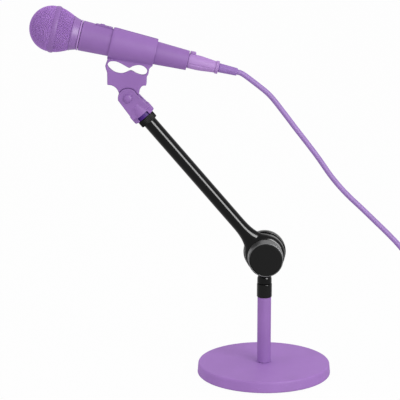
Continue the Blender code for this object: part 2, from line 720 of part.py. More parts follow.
def handle_radius(along):
    """The handle's outer radius: a slow taper from the neck to the waist, and a faster one to the tail."""
    if along > HANDLE_WAIST:
        share = along / HANDLE_WAIST
        return HANDLE_NECK_RADIUS + (HANDLE_WAIST_RADIUS - HANDLE_NECK_RADIUS) * share
    share = (along - HANDLE_WAIST) / (HANDLE_TAIL - HANDLE_WAIST)
    return HANDLE_WAIST_RADIUS + (HANDLE_TAIL_RADIUS - HANDLE_WAIST_RADIUS) * share


def clip_cradle():
    """The moulded cradle: a split sleeve round the handle, on a yoke with a figure-eight opening."""
    inner = [handle_radius(along) + FIT for along in (CRADLE_FRONT, HANDLE_WAIST, CRADLE_BACK)]
    ends = (CRADLE_FRONT, HANDLE_WAIST, CRADLE_BACK)
    walls = (CRADLE_WALL, CRADLE_WALL, CRADLE_BACK_WALL)
    outline = [(radius + wall, along) for radius, wall, along in zip(inner, walls, ends)]
    outline += [(radius, along) for radius, along in zip(reversed(inner), reversed(ends))]
    cradle = turned("clip_cradle", outline, ROUND, finish="purple_plastic", parent=MIC_FRAME)
    reach = 2 * HANDLE_NECK_RADIUS
    length = CRADLE_FRONT - CRADLE_BACK
    half_mouth = reach * math.tan(CRADLE_MOUTH / 2)
    wedge = [(0, 0), (reach, half_mouth), (reach, -half_mouth)]
    low = CRADLE_BACK - length / 4
    high = CRADLE_FRONT + length / 4
    rings = [[(x, y, along) for x, y in wedge[::-1]] for along in (low, high)]
    mouth = lofted("cradle_mouth", rings, parent=MIC_FRAME)
    right, left = RIGHT_SHOULDER_RISE, LEFT_SHOULDER_RISE
    right_size = (RIGHT_SWEEP_END - STEM_RIGHT, right - STEM_RISE)
    left_size = (STEM_LEFT - LEFT_SWEEP_END, left - STEM_RISE)
    outer = ellipse((RIGHT_SWEEP_END, STEM_RISE), right_size, 180, 90, 5) + [(YOKE_RIGHT, right)]
    outer += [*RIGHT_STRIP, *SADDLE, *reversed(LEFT_STRIP), (YOKE_LEFT, left)]
    outer += ellipse((LEFT_SWEEP_END, STEM_RISE), left_size, 90, 0, 5)
    plate = plate_mesh("cradle_yoke", [outer, figure_eight()], YOKE_DEPTH)
    yoke = place("cradle_yoke", plate, parent=CLIP_FRAME)
    about = {"parent": CLIP_FRAME, "rotation": FRONT}
    half = TONGUE_WIDTH / 2
    clearing = CLIP_KNUCKLE_RADIUS + RUN
    clear_knuckle = rod("cradle_knuckle_room", clearing, -YOKE_DEPTH, YOKE_DEPTH, ROUND, **about)
    tongue = rod("cradle_tongue", CLIP_KNUCKLE_RADIUS - RUN, -half, half, ROUND, **about)
    stem = block(
        "cradle_stem",
        (TONGUE_STEM, TONGUE_WIDTH, left),
        parent=CLIP_FRAME,
        location=(0, 0, left / 2),
    )
    handle_room = turned(
        "cradle_handle_room",
        [(0, 0), (handle_radius(0) + FIT, 0)]
        + [(handle_radius(along) + FIT, along) for along in (HANDLE_WAIST, HANDLE_TAIL)]
        + [(0, HANDLE_TAIL)],
        ROUND,
        parent=MIC_FRAME,
    )
    hole = rod("cradle_pivot_bore", PIVOT_BOLT_RADIUS + FIT, -YOKE_DEPTH, YOKE_DEPTH, **about)
    cut(cradle, mouth)
    fuse(cradle, yoke)
    cut(cradle, clear_knuckle, handle_room)
    fuse(tongue, stem)
    cut(tongue, hole)
    fuse(cradle, tongue)


def handle():
    spigot_bore = NECK_SPIGOT_RADIUS - HANDLE_WALL
    tail_bore = SOCKET_INSERT_RADIUS + FIT
    step = SOCKET_INSERT_FRONT + SOCKET_INSERT_THICKNESS
    shelf = tail_bore - HANDLE_WALL / 2
    edge = HANDLE_EDGE
    outline = [
        (NECK_SPIGOT_RADIUS, NECK_SPIGOT_LENGTH),
        (NECK_SPIGOT_RADIUS, -edge),
        (HANDLE_NECK_RADIUS - edge, -edge),
        (handle_radius(-2 * edge), -2 * edge),
        (HANDLE_WAIST_RADIUS, HANDLE_WAIST),
        (handle_radius(HANDLE_TAIL + edge), HANDLE_TAIL + edge),
        (HANDLE_TAIL_RADIUS - edge, HANDLE_TAIL),
        (tail_bore, HANDLE_TAIL),
        (tail_bore, step + FIT),
        (shelf, step + FIT),
        (shelf, step + HANDLE_WALL),
        (handle_radius(step) - 2 * HANDLE_WALL, step + 2 * HANDLE_WALL),
        (spigot_bore, -HANDLE_WALL),
        (spigot_bore, NECK_SPIGOT_LENGTH),
    ]
    body = turned("mic_handle", outline, ROUND, finish="purple_plastic", parent=MIC_FRAME)
    top = handle_radius(SWITCH_CENTRE)
    floor = top + SWITCH_PLATE_PROUD - SWITCH_PLATE_THICKNESS
    pocket = block(
        "switch_pocket",
        (SWITCH_PLATE_THICKNESS * 4, SWITCH_PLATE_WIDTH + 2 * FIT, SWITCH_PLATE_LENGTH + 2 * FIT),
        parent=MIC_FRAME,
        location=(floor - FIT + SWITCH_PLATE_THICKNESS * 2, 0, SWITCH_CENTRE),
    )
    well = block(
        "switch_well",
        (SWITCH_BODY_HEIGHT * 4, SWITCH_SLOT_WIDTH + HANDLE_WALL, SWITCH_SLOT_LENGTH + HANDLE_WALL),
        parent=MIC_FRAME,
        location=(floor, 0, SWITCH_CENTRE),
    )
    cut(body, pocket, well)


def switch():
    """The slide switch on top of the handle: a slotted plate, a body under it and the sliding grip."""
    top = handle_radius(SWITCH_CENTRE)
    plate_top = top + SWITCH_PLATE_PROUD
    floor = plate_top - SWITCH_PLATE_THICKNESS
    plate = block(
        "switch_plate",
        (SWITCH_PLATE_THICKNESS, SWITCH_PLATE_WIDTH, SWITCH_PLATE_LENGTH),
        SWITCH_PLATE_EDGE,
        finish="purple_plastic",
        parent=MIC_FRAME,
        location=(plate_top - SWITCH_PLATE_THICKNESS / 2, 0, SWITCH_CENTRE),
    )
    slot = block(
        "switch_slot",
        (SWITCH_PLATE_THICKNESS * 3, SWITCH_SLOT_WIDTH, SWITCH_SLOT_LENGTH),
        parent=MIC_FRAME,
        location=(plate_top, 0, SWITCH_CENTRE),
    )
    cut(plate, slot)
    block(
        "switch_body",
        (SWITCH_BODY_HEIGHT, SWITCH_SLOT_WIDTH + HANDLE_WALL - RUN, SWITCH_SLOT_LENGTH + HANDLE_WALL - RUN),
        finish="black_satin",
        parent=MIC_FRAME,
        location=(floor - FIT - SWITCH_BODY_HEIGHT / 2, 0, SWITCH_CENTRE),
    )
    grip_length = SWITCH_SLOT_LENGTH - SWITCH_TRAVEL - 2 * FIT
    grip_height = SWITCH_PLATE_THICKNESS + SWITCH_GRIP_PROUD - FIT
    start = SWITCH_CENTRE + SWITCH_TRAVEL / 2
    axis = empty("switch_slide_axis", MIC_FRAME, (0, 0, start))
    block(
        "switch_slider",
        (grip_height, SWITCH_SLOT_WIDTH - 2 * FIT, grip_length),
        SWITCH_GRIP_EDGE,
        finish="purple_plastic",
        parent=axis,
        location=(floor + FIT + grip_height / 2, 0, 0),
    )


def ball_radius(along, shrink=0.0):
    """The ball's radius at a distance along the axis, on a sphere that is smaller by shrink."""
    across = (BALL_RADIUS - shrink) ** 2 - (along - BALL_CENTRE) ** 2
    return math.sqrt(max(across, 0))


def basket_radius(along):
    """The rear basket's radius, drawn in from the band to the collar with a slight bulge."""
    front = BAND_CENTRE - BAND_WIDTH / 2
    wide = ball_radius(front)
    share = (front - along) / (front - COLLAR_CONE_END)
    return wide + (COLLAR_CONE_FRONT_RADIUS - wide) * share**BASKET_BULGE


def dome(outer, inner, seat, steps):
    """Outline of a cap of the ball: down its outer sphere from tip to seat, and back up the inner one."""
    def side(shrink):
        radius = BALL_RADIUS - shrink
        last = math.acos((seat - BALL_CENTRE) / radius)
        turn = [last * i / steps for i in range(steps + 1)]
        points = [(radius * math.sin(a), BALL_CENTRE + radius * math.cos(a)) for a in turn]
        points[0] = (0, BALL_CENTRE + radius)
        return points

    return side(outer) + list(reversed(side(inner)))


def grille():
    """The ball grille: front and rear baskets on a middle band, a screw-on collar and a foam liner."""
    about = {"parent": MIC_FRAME}
    band_low = BAND_CENTRE - BAND_WIDTH / 2
    band_high = BAND_CENTRE + BAND_WIDTH / 2
    turned("grille_front", dome(0, MESH_WALL, band_high + FIT, 8), ROUND, finish="purple_paint", **about)
    band_bore = ball_radius(band_low, MESH_WALL)
    edge = BAND_WIDTH / 5
    outline = [(band_bore, band_high), (BAND_RADIUS - edge, band_high), (BAND_RADIUS, band_high - edge)]
    outline += [(BAND_RADIUS, band_low + edge), (BAND_RADIUS - edge, band_low), (band_bore, band_low)]
    turned("grille_band", outline, ROUND, finish="purple_paint", **about)
    rear_low = COLLAR_CONE_END + FIT
    rear_high = band_low - FIT
    steps = 5
    stations = [rear_high + (rear_low - rear_high) * i / steps for i in range(steps + 1)]
    outline = [(basket_radius(along), along) for along in stations]
    outline += [(basket_radius(along) - MESH_WALL, along) for along in reversed(stations)]
    turned("grille_rear", outline, ROUND, finish="purple_paint", **about)
    low = NECK_RING_WIDTH + FIT
    bore = NECK_SPIGOT_RADIUS + FIT
    flange = COLLAR_CONE_FRONT_RADIUS
    step = COLLAR_CONE_END - edge
    outline = [(bore, COLLAR_CONE_END), (flange, COLLAR_CONE_END), (flange, step)]
    outline += [(flange - edge / 2, step), (COLLAR_CONE_BACK_RADIUS, low), (bore, low)]
    turned("grille_collar", outline, ROUND, finish="purple_plastic", **about)
    tube("neck_ring", NECK_RING_RADIUS, bore, 0, NECK_RING_WIDTH, ROUND, finish="lilac_metal", **about)
    liner = dome(MESH_WALL + FIT, MESH_WALL + FIT + FOAM_WALL, band_high + FIT, 5)
    turned("foam_liner", liner, ROUND_SMALL, finish="foam", **about)


def capsule():
    mount_low = NECK_SPIGOT_LENGTH + FIT
    mount_radius = CAPSULE_RADIUS + FIT + CAPSULE_MOUNT_WALL
    mount_top = mount_low + CAPSULE_MOUNT_HEIGHT
    seat = mount_low + CAPSULE_MOUNT_WALL
    bore = NECK_SPIGOT_RADIUS - HANDLE_WALL
    rest = COLLAR_CONE_END + FIT
    outline = [(CAPSULE_RADIUS + FIT, mount_top), (mount_radius, mount_top), (mount_radius, rest)]
    outline += [(bore, rest), (bore, seat + FIT), (CAPSULE_RADIUS + FIT, seat + FIT)]
    turned("capsule_mount", outline, finish="rubber", parent=MIC_FRAME)
    low = seat + 2 * FIT
    high = low + CAPSULE_LENGTH
    edge = CAPSULE_RADIUS / 10
    outline = [(0, high), (CAPSULE_RADIUS - edge, high), (CAPSULE_RADIUS, high - edge)]
    outline += [(CAPSULE_RADIUS, low), (0, low)]
    turned("mic_capsule", outline, finish="black_satin", parent=MIC_FRAME)


def tail_socket():
    """The microphone's own socket: an insulator in the tail with three pins."""
    back = SOCKET_INSERT_FRONT
    front = back + SOCKET_INSERT_THICKNESS
    insert = rod("socket_insert", SOCKET_INSERT_RADIUS, back, front, finish="black_satin", parent=MIC_FRAME)
    for number, angle in enumerate((90, 210, 330), 1):
        at = (PIN_CIRCLE * math.cos(math.radians(angle)), PIN_CIRCLE * math.sin(math.radians(angle)), 0)
        about = {"parent": MIC_FRAME, "location": at}
        low = back - PIN_LENGTH
        rod(f"socket_pin_{number}", PIN_RADIUS, low, front - FIT, 12, finish="brass", **about)
        cut(insert, rod(f"pin_bore_{number}", PIN_RADIUS + FIT, 2 * low, 0, 12, **about))


def connector():
    """The cable's connector: a nose in the tail, a tapered shell, its insert, ring, boot and latch."""
    about = {"parent": MIC_FRAME}
    nose_tip = SOCKET_INSERT_FRONT - FIT
    shoulder = HANDLE_TAIL - FIT
    pocket_end = nose_tip - CONTACT_LENGTH - 2 * FIT
    pocket = NOSE_RADIUS - SHELL_WALL
    wire_bore = SHELL_END_RADIUS - 2 * SHELL_WALL
    edge = SHELL_WALL / 2
    outline = [
        (NOSE_RADIUS, nose_tip),
        (NOSE_RADIUS, shoulder),
        (SHELL_RADIUS - edge, shoulder),
        (SHELL_RADIUS, shoulder - edge),
        (SHELL_RADIUS, SHELL_STRAIGHT_END),
        (SHELL_END_RADIUS, SHELL_END),
        (wire_bore, SHELL_END),
        (wire_bore, pocket_end),
        (pocket, pocket_end),
        (pocket, nose_tip),
    ]
    shell = turned("connector_shell", outline, finish="lilac_metal", **about)
    latch_centre = shoulder - RUN - LATCH_LENGTH / 2
    floor = SHELL_RADIUS + LATCH_PROUD - LATCH_DEPTH - LATCH_PROUD
    room = floor - LATCH_TRAVEL - FIT
    well = block(
        "latch_well",
        (4 * LATCH_DEPTH, LATCH_WIDTH + 2 * FIT, LATCH_LENGTH + 2 * FIT),
        parent=MIC_FRAME,
        location=(room + 2 * LATCH_DEPTH, 0, latch_centre),
    )
    cut(shell, well)
    height = LATCH_DEPTH + LATCH_PROUD
    axis = empty("latch_press_axis", MIC_FRAME, (floor, 0, latch_centre))
    block(
        "connector_latch",
        (height, LATCH_WIDTH, LATCH_LENGTH),
        LATCH_EDGE,
        finish="lilac_metal",
        parent=axis,
        location=(height / 2, 0, 0),
    )
    contact_front = nose_tip - FIT
    contact_back = contact_front - CONTACT_LENGTH + FIT
    contact = rod("contact_insert", pocket - FIT, contact_back, contact_front, finish="black_satin", **about)
    pin_room = SOCKET_INSERT_FRONT - PIN_LENGTH - FIT
    for number, angle in enumerate((90, 210, 330), 1):
        at = (PIN_CIRCLE * math.cos(math.radians(angle)), PIN_CIRCLE * math.sin(math.radians(angle)), 0)
        where = {"parent": MIC_FRAME, "location": at}
        cut(contact, rod(f"contact_bore_{number}", PIN_RADIUS + FIT, pin_room, 0, 12, **where))
    ring_high = SHELL_END - FIT
    ring_low = ring_high - CONNECTOR_RING_LENGTH
    ring_edge = CONNECTOR_RING_LENGTH / 5
    outline = [(wire_bore, ring_high), (CONNECTOR_RING_RADIUS - ring_edge, ring_high)]
    outline += [(CONNECTOR_RING_RADIUS, ring_high - ring_edge), (CONNECTOR_RING_RADIUS, ring_low + ring_edge)]
    outline += [(CONNECTOR_RING_RADIUS - ring_edge, ring_low), (wire_bore, ring_low)]
    turned("connector_ring", outline, finish="lilac_metal", **about)
    boot_high = ring_low - FIT
    boot_low = boot_high - BOOT_LENGTH
    outline = [(0, boot_high), (BOOT_START_RADIUS, boot_high), (BOOT_END_RADIUS, boot_low + ring_edge)]
    outline += [(BOOT_END_RADIUS - ring_edge, boot_low), (0, boot_low)]
    turned("cable_boot", outline, finish="purple_rubber", **about)


def smooth_route(points, spacing):
    """Evenly spaced points on a smooth curve through the given ones."""
    padded = [2 * points[0] - points[1]] + points + [2 * points[-1] - points[-2]]
    fine = []
    for before, here, after, last in zip(padded, padded[1:], padded[2:], padded[3:]):
        for step in range(12):
            t = step / 12
            fine.append(
                0.5
                * (
                    2 * here
                    + (after - before) * t
                    + (2 * before - 5 * here + 4 * after - last) * t**2
                    + (3 * here - before - 3 * after + last) * t**3
                )
            )
    fine.append(points[-1])
    lengths = [0.0]
    for one, two in zip(fine, fine[1:]):
        lengths.append(lengths[-1] + (two - one).length)
    count = max(2, round(lengths[-1] / spacing))
    even = []
    place_on = 0
    for i in range(count + 1):
        target = lengths[-1] * i / count
        while place_on < len(fine) - 2 and lengths[place_on + 1] < target:
            place_on += 1
        stretch = lengths[place_on + 1] - lengths[place_on]
        even.append(fine[place_on].lerp(fine[place_on + 1], (target - lengths[place_on]) / stretch))
    return even


def cord(name, points, sides_setting, finish):
    curve = bpy.data.curves.new(name, "CURVE")
    curve.dimensions = "3D"
    curve.bevel_depth = CABLE_RADIUS
    curve.bevel_resolution = sides_setting
    curve.use_fill_caps = True
    spline = curve.splines.new("POLY")
    spline.points.add(len(points) - 1)
    for target, point in zip(spline.points, points):
        target.co = (*point, 1)
    return place(name, curve, finish)


def ease(share):
    """A smooth rise from 0 to 1."""
    return share * share * (3 - 2 * share)


SPIRAL_TURNS = (COIL_TURNS - (COIL_LAYERS - 1) * COIL_CLIMB) / COIL_LAYERS
COIL_OUTER = COIL_MEAN_RADIUS + COIL_PITCH * SPIRAL_TURNS / 2
COIL_INNER = COIL_MEAN_RADIUS - COIL_PITCH * SPIRAL_TURNS / 2
COIL_Y = COIL_OUTER - ARM_OFFSET
COIL_FLOOR = COIL_LIFT + CABLE_RADIUS


def coil_point(turns):
    """A point of the coil, by the turns made from its upper, outer end down to its lower one."""
    layer_turns = SPIRAL_TURNS + COIL_CLIMB
    layer = min(int(turns / layer_turns), COIL_LAYERS - 1)
    within = turns - layer * layer_turns
    inwards = min(within / SPIRAL_TURNS, 1)
    first, last = (COIL_OUTER, COIL_INNER) if layer % 2 == 0 else (COIL_INNER, COIL_OUTER)
    radius = first + (last - first) * inwards
    fall = ease(max(within - SPIRAL_TURNS, 0) / COIL_CLIMB) if layer < COIL_LAYERS - 1 else 0
    height = COIL_FLOOR + COIL_LAYER * (COIL_LAYERS - 1 - layer - fall)
    angle = math.tau * turns - math.pi / 2
    return Vector((COIL_X + radius * math.cos(angle), COIL_Y + radius * math.sin(angle), height))


def least_gap(points, skip):
    """The least distance between the surfaces of stretches of the tube that aren't neighbours."""
    least = math.inf
    for i, one in enumerate(points):
        for start, end in zip(points[i + skip :], points[i + skip + 1 :]):
            run = end - start
            share = min(max((one - start).dot(run) / run.length_squared, 0), 1)
            least = min(least, (one - start - share * run).length)
    return least - 2 * CABLE_RADIUS


def cable():
    """The cable: two free stretches that meet beside the arm, and the coil of the rest with its tie."""
    plane = -ARM_OFFSET
    mic_neck = PIVOT + MIC_NECK
    start = mic_neck + CABLE_START * MIC_FORWARD
    lead = start - 3 * CABLE_RADIUS * MIC_FORWARD
    coil_top = coil_point(0)
    lead_in = coil_top - Vector((COIL_LEAD, 0, 0))
    route = [Vector((x, plane, z)) for x, z in CABLE_ROUTE]
    landing = lead_in - Vector((2 * COIL_LEAD, 0, -COIL_LEAD / 3))
    whole_points = smooth_route([start, lead] + route + [landing, lead_in], CABLE_SPACING)
    whole_points.insert(1, start - 2 * CABLE_RADIUS * MIC_FORWARD)
    joint = route[CABLE_SPLIT - 1]
    split = min(range(len(whole_points)), key=lambda i: (whole_points[i] - joint).length)
    along = (whole_points[split + 1] - whole_points[split - 1]).normalized()
    upper_points = whole_points[:split] + [whole_points[split] - FIT / 2 * along]
    lower_points = [whole_points[split] + FIT / 2 * along] + whole_points[split + 1 :]
    lower_points[-1] = lead_in - Vector((2 * CABLE_RADIUS, 0, 0))
    lower_points.append(lead_in - Vector((FIT, 0, 0)))
    cord("cable_upper", upper_points, 2, "purple_rubber")
    cord("cable_lower", lower_points, 2, "purple_rubber")
    count = round(COIL_TURNS * COIL_POINTS_PER_TURN)
    turns = [coil_point(COIL_TURNS * i / count) for i in range(count + 1)]
    end = turns[-1]
    onward = Vector((0, -1, 0))
    plug_height = PLUG_SHELL_RADIUS + RUN
    tail = []
    for i in range(1, 4):
        tail.append(end + onward * TAIL_STRAIGHT * i / 3)
    ramp_steps = 4
    for i in range(1, ramp_steps + 1):
        point = end + onward * (TAIL_STRAIGHT + TAIL_RAMP * i / ramp_steps)
        point.z += (plug_height - end.z) * ease(i / ramp_steps)
        tail.append(point)
    tail.append(tail[-1] + onward * 2 * CABLE_RADIUS)
    coil_points = [lead_in] + turns + tail
    cord("cable_coil", coil_points, 1, "purple_rubber")
    gap = least_gap(coil_points, COIL_POINTS_PER_TURN // 2)
    print("cable_coil: least gap to itself %.2f mm" % (1000 * gap))
    centreline = upper_points + lower_points + coil_points
    length = sum((after - before).length for before, after in zip(centreline, centreline[1:]))
    print("cable: %.3f m of centreline in all" % length)
    tie_and_plug(tail[-1], onward)


def tie_and_plug(end, onward):
    low = COIL_INNER - CABLE_RADIUS - RUN
    high = COIL_OUTER + CABLE_RADIUS + RUN
    top = COIL_FLOOR + COIL_LAYER * (COIL_LAYERS - 1) + CABLE_RADIUS + RUN
    bottom = COIL_LIFT - FIT
    wall = TIE_THICKNESS
    outer = [(low - wall, bottom - wall), (high + wall, bottom - wall)]
    outer += [(high + wall, top + wall), (low - wall, top + wall)]
    inner = [(low, bottom), (high, bottom), (high, top), (low, top)]
    strap = plate_mesh("cable_tie", [outer, inner], TIE_WIDTH)
    place("cable_tie", strap, "rubber", None, (COIL_X, COIL_Y, 0), (0, 0, TIE_ANGLE))
    axis = (math.radians(90), 0, 0)
    about = {"location": end + onward * FIT, "rotation": axis}
    edge = PLUG_BOOT_RADIUS / 5
    outline = [(0, PLUG_BOOT_LENGTH), (PLUG_BOOT_RADIUS, PLUG_BOOT_LENGTH), (CABLE_RADIUS + edge, 0), (0, 0)]
    turned("plug_boot", outline, finish="purple_rubber", **about)
    shell_low = PLUG_BOOT_LENGTH + FIT
    shell_high = shell_low + PLUG_SHELL_LENGTH
    rim = PLUG_SHELL_RADIUS - edge
    outline = [(0, shell_high), (rim, shell_high), (PLUG_SHELL_RADIUS, shell_high - edge)]
    outline += [(PLUG_SHELL_RADIUS, shell_low + edge), (rim, shell_low), (0, shell_low)]
    turned("plug_shell", outline, finish="lilac_metal", **about)
    pin_low = shell_high + FIT
    tip = pin_low + PLUG_PIN_LENGTH
    outline = [(0, tip), (PLUG_TIP_RADIUS, tip), (PLUG_TIP_WIDE, tip - PLUG_TIP_RISE)]
    outline += [(PLUG_TIP_WAIST, tip - PLUG_WAIST_RISE), (PLUG_PIN_RADIUS, tip - PLUG_RING_RISE)]
    outline += [(PLUG_PIN_RADIUS, pin_low), (0, pin_low)]
    turned("plug_pin", outline, finish="steel", **about)


def shade():
    """Round pieces are shaded smooth, with their edges sharp."""
    for obj in PARTS.objects:
        if obj.type == "MESH":
            obj.data.shade_smooth()
            obj.data.set_sharp_from_angle(angle=math.radians(35))


def main():
    base()
    socket()
    hinge_hub()
    hinge_fittings()
    knob()
    boom_arm()
    arm_tip()
    clip_base()
    clip_cradle()
    handle()
    switch()
    grille()
    capsule()
    tail_socket()
    connector()
    cable()
    shade()


main()
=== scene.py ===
"""A vocal microphone in its clip on a short desk boom stand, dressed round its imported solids.

Metres, +Z up. The arm leans towards -X, and the front of the hinge faces -Y.
"""

import math

import bmesh
import bpy
import numpy as np
from bpy.props import FloatProperty, FloatVectorProperty, PointerProperty
from mathutils import Matrix


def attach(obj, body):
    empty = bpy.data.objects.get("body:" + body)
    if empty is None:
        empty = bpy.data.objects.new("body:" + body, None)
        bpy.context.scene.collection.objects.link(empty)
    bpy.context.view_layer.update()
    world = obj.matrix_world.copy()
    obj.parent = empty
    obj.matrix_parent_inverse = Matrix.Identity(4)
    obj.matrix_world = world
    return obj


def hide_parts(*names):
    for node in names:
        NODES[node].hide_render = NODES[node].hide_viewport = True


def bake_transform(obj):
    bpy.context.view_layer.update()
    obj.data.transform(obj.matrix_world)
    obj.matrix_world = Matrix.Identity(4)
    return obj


bl_info = {
    "name": "Desk Boom Microphone",
    "version": (1, 0, 0),
    "blender": (4, 5, 0),
    "location": "3D View > Sidebar > Microphone",
    "description": "Dresses a vocal microphone on a short boom stand",
    "category": "Object",
}

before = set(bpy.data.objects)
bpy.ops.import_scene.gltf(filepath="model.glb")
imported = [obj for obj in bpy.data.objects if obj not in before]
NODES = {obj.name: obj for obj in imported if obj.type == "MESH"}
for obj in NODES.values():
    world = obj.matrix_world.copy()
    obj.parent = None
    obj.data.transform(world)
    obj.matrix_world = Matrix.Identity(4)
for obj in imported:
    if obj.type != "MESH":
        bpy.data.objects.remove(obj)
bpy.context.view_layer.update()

# Clearance between pieces, as in the solids
FIT = 0.0003

# Meshing: roundings, held flats, fading ribs and merged points
CORNER_SHARE = 0.45
HOLD_INSET = 0.0006
LONG_SIDE = 0.0016
FLUTE_FADE = 0.0003
GROOVE_FADE = 0.0015
POCKET_LIP = 0.00006
MERGE_DISTANCE = 0.0000005
FLAT_DISTANCE = 0.0000001

# Stand
BASE_RADIUS = 0.0760
BASE_TOP_RADIUS = 0.0750
BASE_HEIGHT = 0.0137
BASE_LOW = 0.0009
SCUFF_START = 0.0738
SCUFF_FULL = 0.0757
PAD_RADIUS = 0.0690
PAD_THICKNESS = 0.0017
POLE_RADIUS = 0.0078
POLE_TOP = 0.0908
POLE_THREAD_RADIUS = 0.0063
POLE_THREAD_LENGTH = 0.0070
SOCKET_RADIUS = 0.0086
SOCKET_BORE = 0.0066
SOCKET_TOP = 0.1066

# Hinge, with depths from the pole's axis towards the front
HINGE_HEIGHT = 0.1430
HUB_RADIUS = 0.0240
HUB_BACK = -0.0105
HUB_FRONT = -0.0010
NECK_RADIUS = 0.0082
NECK_TOP = 0.1164
BOLT_HEAD_HEIGHT = 0.0044
CHAMFER_SHARE = 0.96
HOUSING_RADIUS = 0.0225
HOUSING_HALF_DEPTH = 0.0078
KNOB_RADIUS = 0.0200
KNOB_FACE_RADIUS = 0.0194
KNOB_BACK = 0.0165
KNOB_FRONT = 0.0360
KNOB_CAP_RADIUS = 0.0180
KNOB_NECK_RADIUS = 0.0184
KNOB_NECK_LENGTH = 0.0050

# Arm, with reaches from the hinge along the arm
ARM_LEAN = math.radians(40.4)
ARM_OFFSET = 0.0084
ARM_RADIUS = 0.0076
ARM_REACH = 0.2065
FLARE_START = 0.0165
FLARE_END = 0.0500
FLARE_WIDTH = 0.0148
COLLAR_RADIUS = 0.0102
COLLAR_LOW = 0.1993

# Clip, measured from its pivot
PIVOT_RISE = 0.0290
PIVOT_REACH = ARM_REACH + PIVOT_RISE
CLIP_FOOT_RADIUS = 0.0121
CLIP_FOOT_TOP = -0.0222
CLIP_SHOULDER = 0.0117
CLIP_CHEEK_ANGLE = math.radians(27)
NOTCH_HALF_WIDTH = 0.0070
NOTCH_HEIGHT = 0.0046
KNUCKLE_RADIUS = 0.0110
CLEVIS_HALF_WIDTH = 0.0100
CLEVIS_HALF_SLOT = 0.0050
YOKE_HALF_DEPTH = 0.0090
TONGUE_HALF_WIDTH = 0.0045
YOKE_MIDDLE = (0.0024, 0.0322)
STEM_RISE = 0.0036
RIGHT_STRIP = (
    (0.0204, 0.0140), (0.0208, 0.0236), (0.0227, 0.0264),
    (0.0233, 0.0293), (0.0229, 0.0315), (0.0240, 0.0327),
)
SADDLE = ((0.0270, 0.0360), (-0.0227, 0.0444))
LEFT_STRIP = (
    (-0.0214, 0.0424), (-0.0230, 0.0404), (-0.0246, 0.0358),
    (-0.0238, 0.0322), (-0.0225, 0.0285), (-0.0225, 0.0147),
)
EYE = (
    (-0.0231, 0.0356), (-0.0212, 0.0399), (-0.0157, 0.0411), (-0.0095, 0.0401), (-0.0024, 0.0359),
    (0.0018, 0.0333), (0.0060, 0.0351), (0.0116, 0.0362), (0.0176, 0.0345), (0.0217, 0.0290),
    (0.0196, 0.0247), (0.0150, 0.0233), (0.0095, 0.0255), (0.0031, 0.0287), (-0.0035, 0.0262),
    (-0.0085, 0.0254), (-0.0152, 0.0273), (-0.0207, 0.0317),
)
EYE_FRONT = (
    (-0.0218, 0.0370), (-0.0197, 0.0404), (-0.0146, 0.0410), (-0.0096, 0.0397), (-0.0021, 0.0356),
    (0.0020, 0.0337), (0.0060, 0.0356), (0.0119, 0.0368), (0.0176, 0.0354), (0.0215, 0.0311),
    (0.0196, 0.0268), (0.0154, 0.0260), (0.0095, 0.0279), (0.0031, 0.0308), (-0.0028, 0.0286),
    (-0.0078, 0.0279), (-0.0142, 0.0294), (-0.0200, 0.0334),
)

# Microphone, with distances from the neck ring along its axis, the ball at the positive end
MIC_TILT = math.radians(13.3)
MIC_RISE = 0.0548
NECK_AHEAD = 0.0662
SPIGOT_RADIUS = 0.0128
SPIGOT_BORE = 0.0131
NECK_RING_WIDTH = 0.0018
HANDLE_NECK_RADIUS = 0.0167
HANDLE_WAIST_RADIUS = 0.0153
HANDLE_WAIST = -0.0360
HANDLE_TAIL_RADIUS = 0.0109
HANDLE_TAIL = -0.1210
TAIL_BORE = 0.0085
CRADLE_FRONT = -0.0340
CRADLE_BACK = -0.0846
CRADLE_WALL = 0.0019
CRADLE_BACK_WALL = 0.0026
CRADLE_MOUTH = math.radians(16)
SWITCH_CENTRE = -0.0235
BALL_RADIUS = 0.0254
BALL_CENTRE = 0.0313
BAND_CENTRE = 0.0285
BAND_WIDTH = 0.0044
BAND_RADIUS = 0.0260
BASKET_BULGE = 1.5
BASKET_MEAN_RADIUS = 0.0225
WIRE_ROOM = 1.75
WEAVE_SHARE = 0.72
COLLAR_END = 0.0100
COLLAR_WIDE = 0.0192
SHELL_RADIUS = 0.0083
SHELL_STRAIGHT_END = -0.1340
SHELL_END = -0.1522
SHELL_END_RADIUS = 0.0064
LATCH_CENTRE = -0.1251
BOOT_TOP = -0.1562
BOOT_LENGTH = 0.0206

# Cable, repeated from the part's source
CABLE_RADIUS = 0.0030
CABLE_SPLIT = 5
CABLE_ROUTE = (
    (-0.0092, 0.3354), (0.0045, 0.3236), (0.0190, 0.3055), (0.0330, 0.2870), (0.0470, 0.2690),
    (0.0590, 0.2530), (0.0715, 0.2350), (0.0830, 0.2208), (0.0950, 0.2082), (0.1080, 0.1960),
    (0.1240, 0.1804), (0.1390, 0.1657), (0.1530, 0.1505), (0.1695, 0.1285), (0.1840, 0.0990),
    (0.1970, 0.0680), (0.2120, 0.0430),
)
COIL_X = 0.2400
COIL_MEAN_RADIUS = 0.0330
COIL_PITCH = 0.0076
COIL_LAYER = 0.0070
COIL_LAYERS = 4
COIL_TURNS = 11.75
COIL_CLIMB = 0.5
COIL_LEAD = 0.0060
COIL_FLOOR = 0.0043
SPIRAL_TURNS = (COIL_TURNS - (COIL_LAYERS - 1) * COIL_CLIMB) / COIL_LAYERS
COIL_OUTER = COIL_MEAN_RADIUS + COIL_PITCH * SPIRAL_TURNS / 2
COIL_INNER = COIL_MEAN_RADIUS - COIL_PITCH * SPIRAL_TURNS / 2
COIL_Y = COIL_OUTER - ARM_OFFSET
TAIL_STRAIGHT = 0.0300
TAIL_RAMP = 0.0180
PLUG_HEIGHT = 0.0067
TIE_ANGLE = math.radians(30)
JACK_RINGS = ((0.0096, 0.0106), (0.0156, 0.0166))

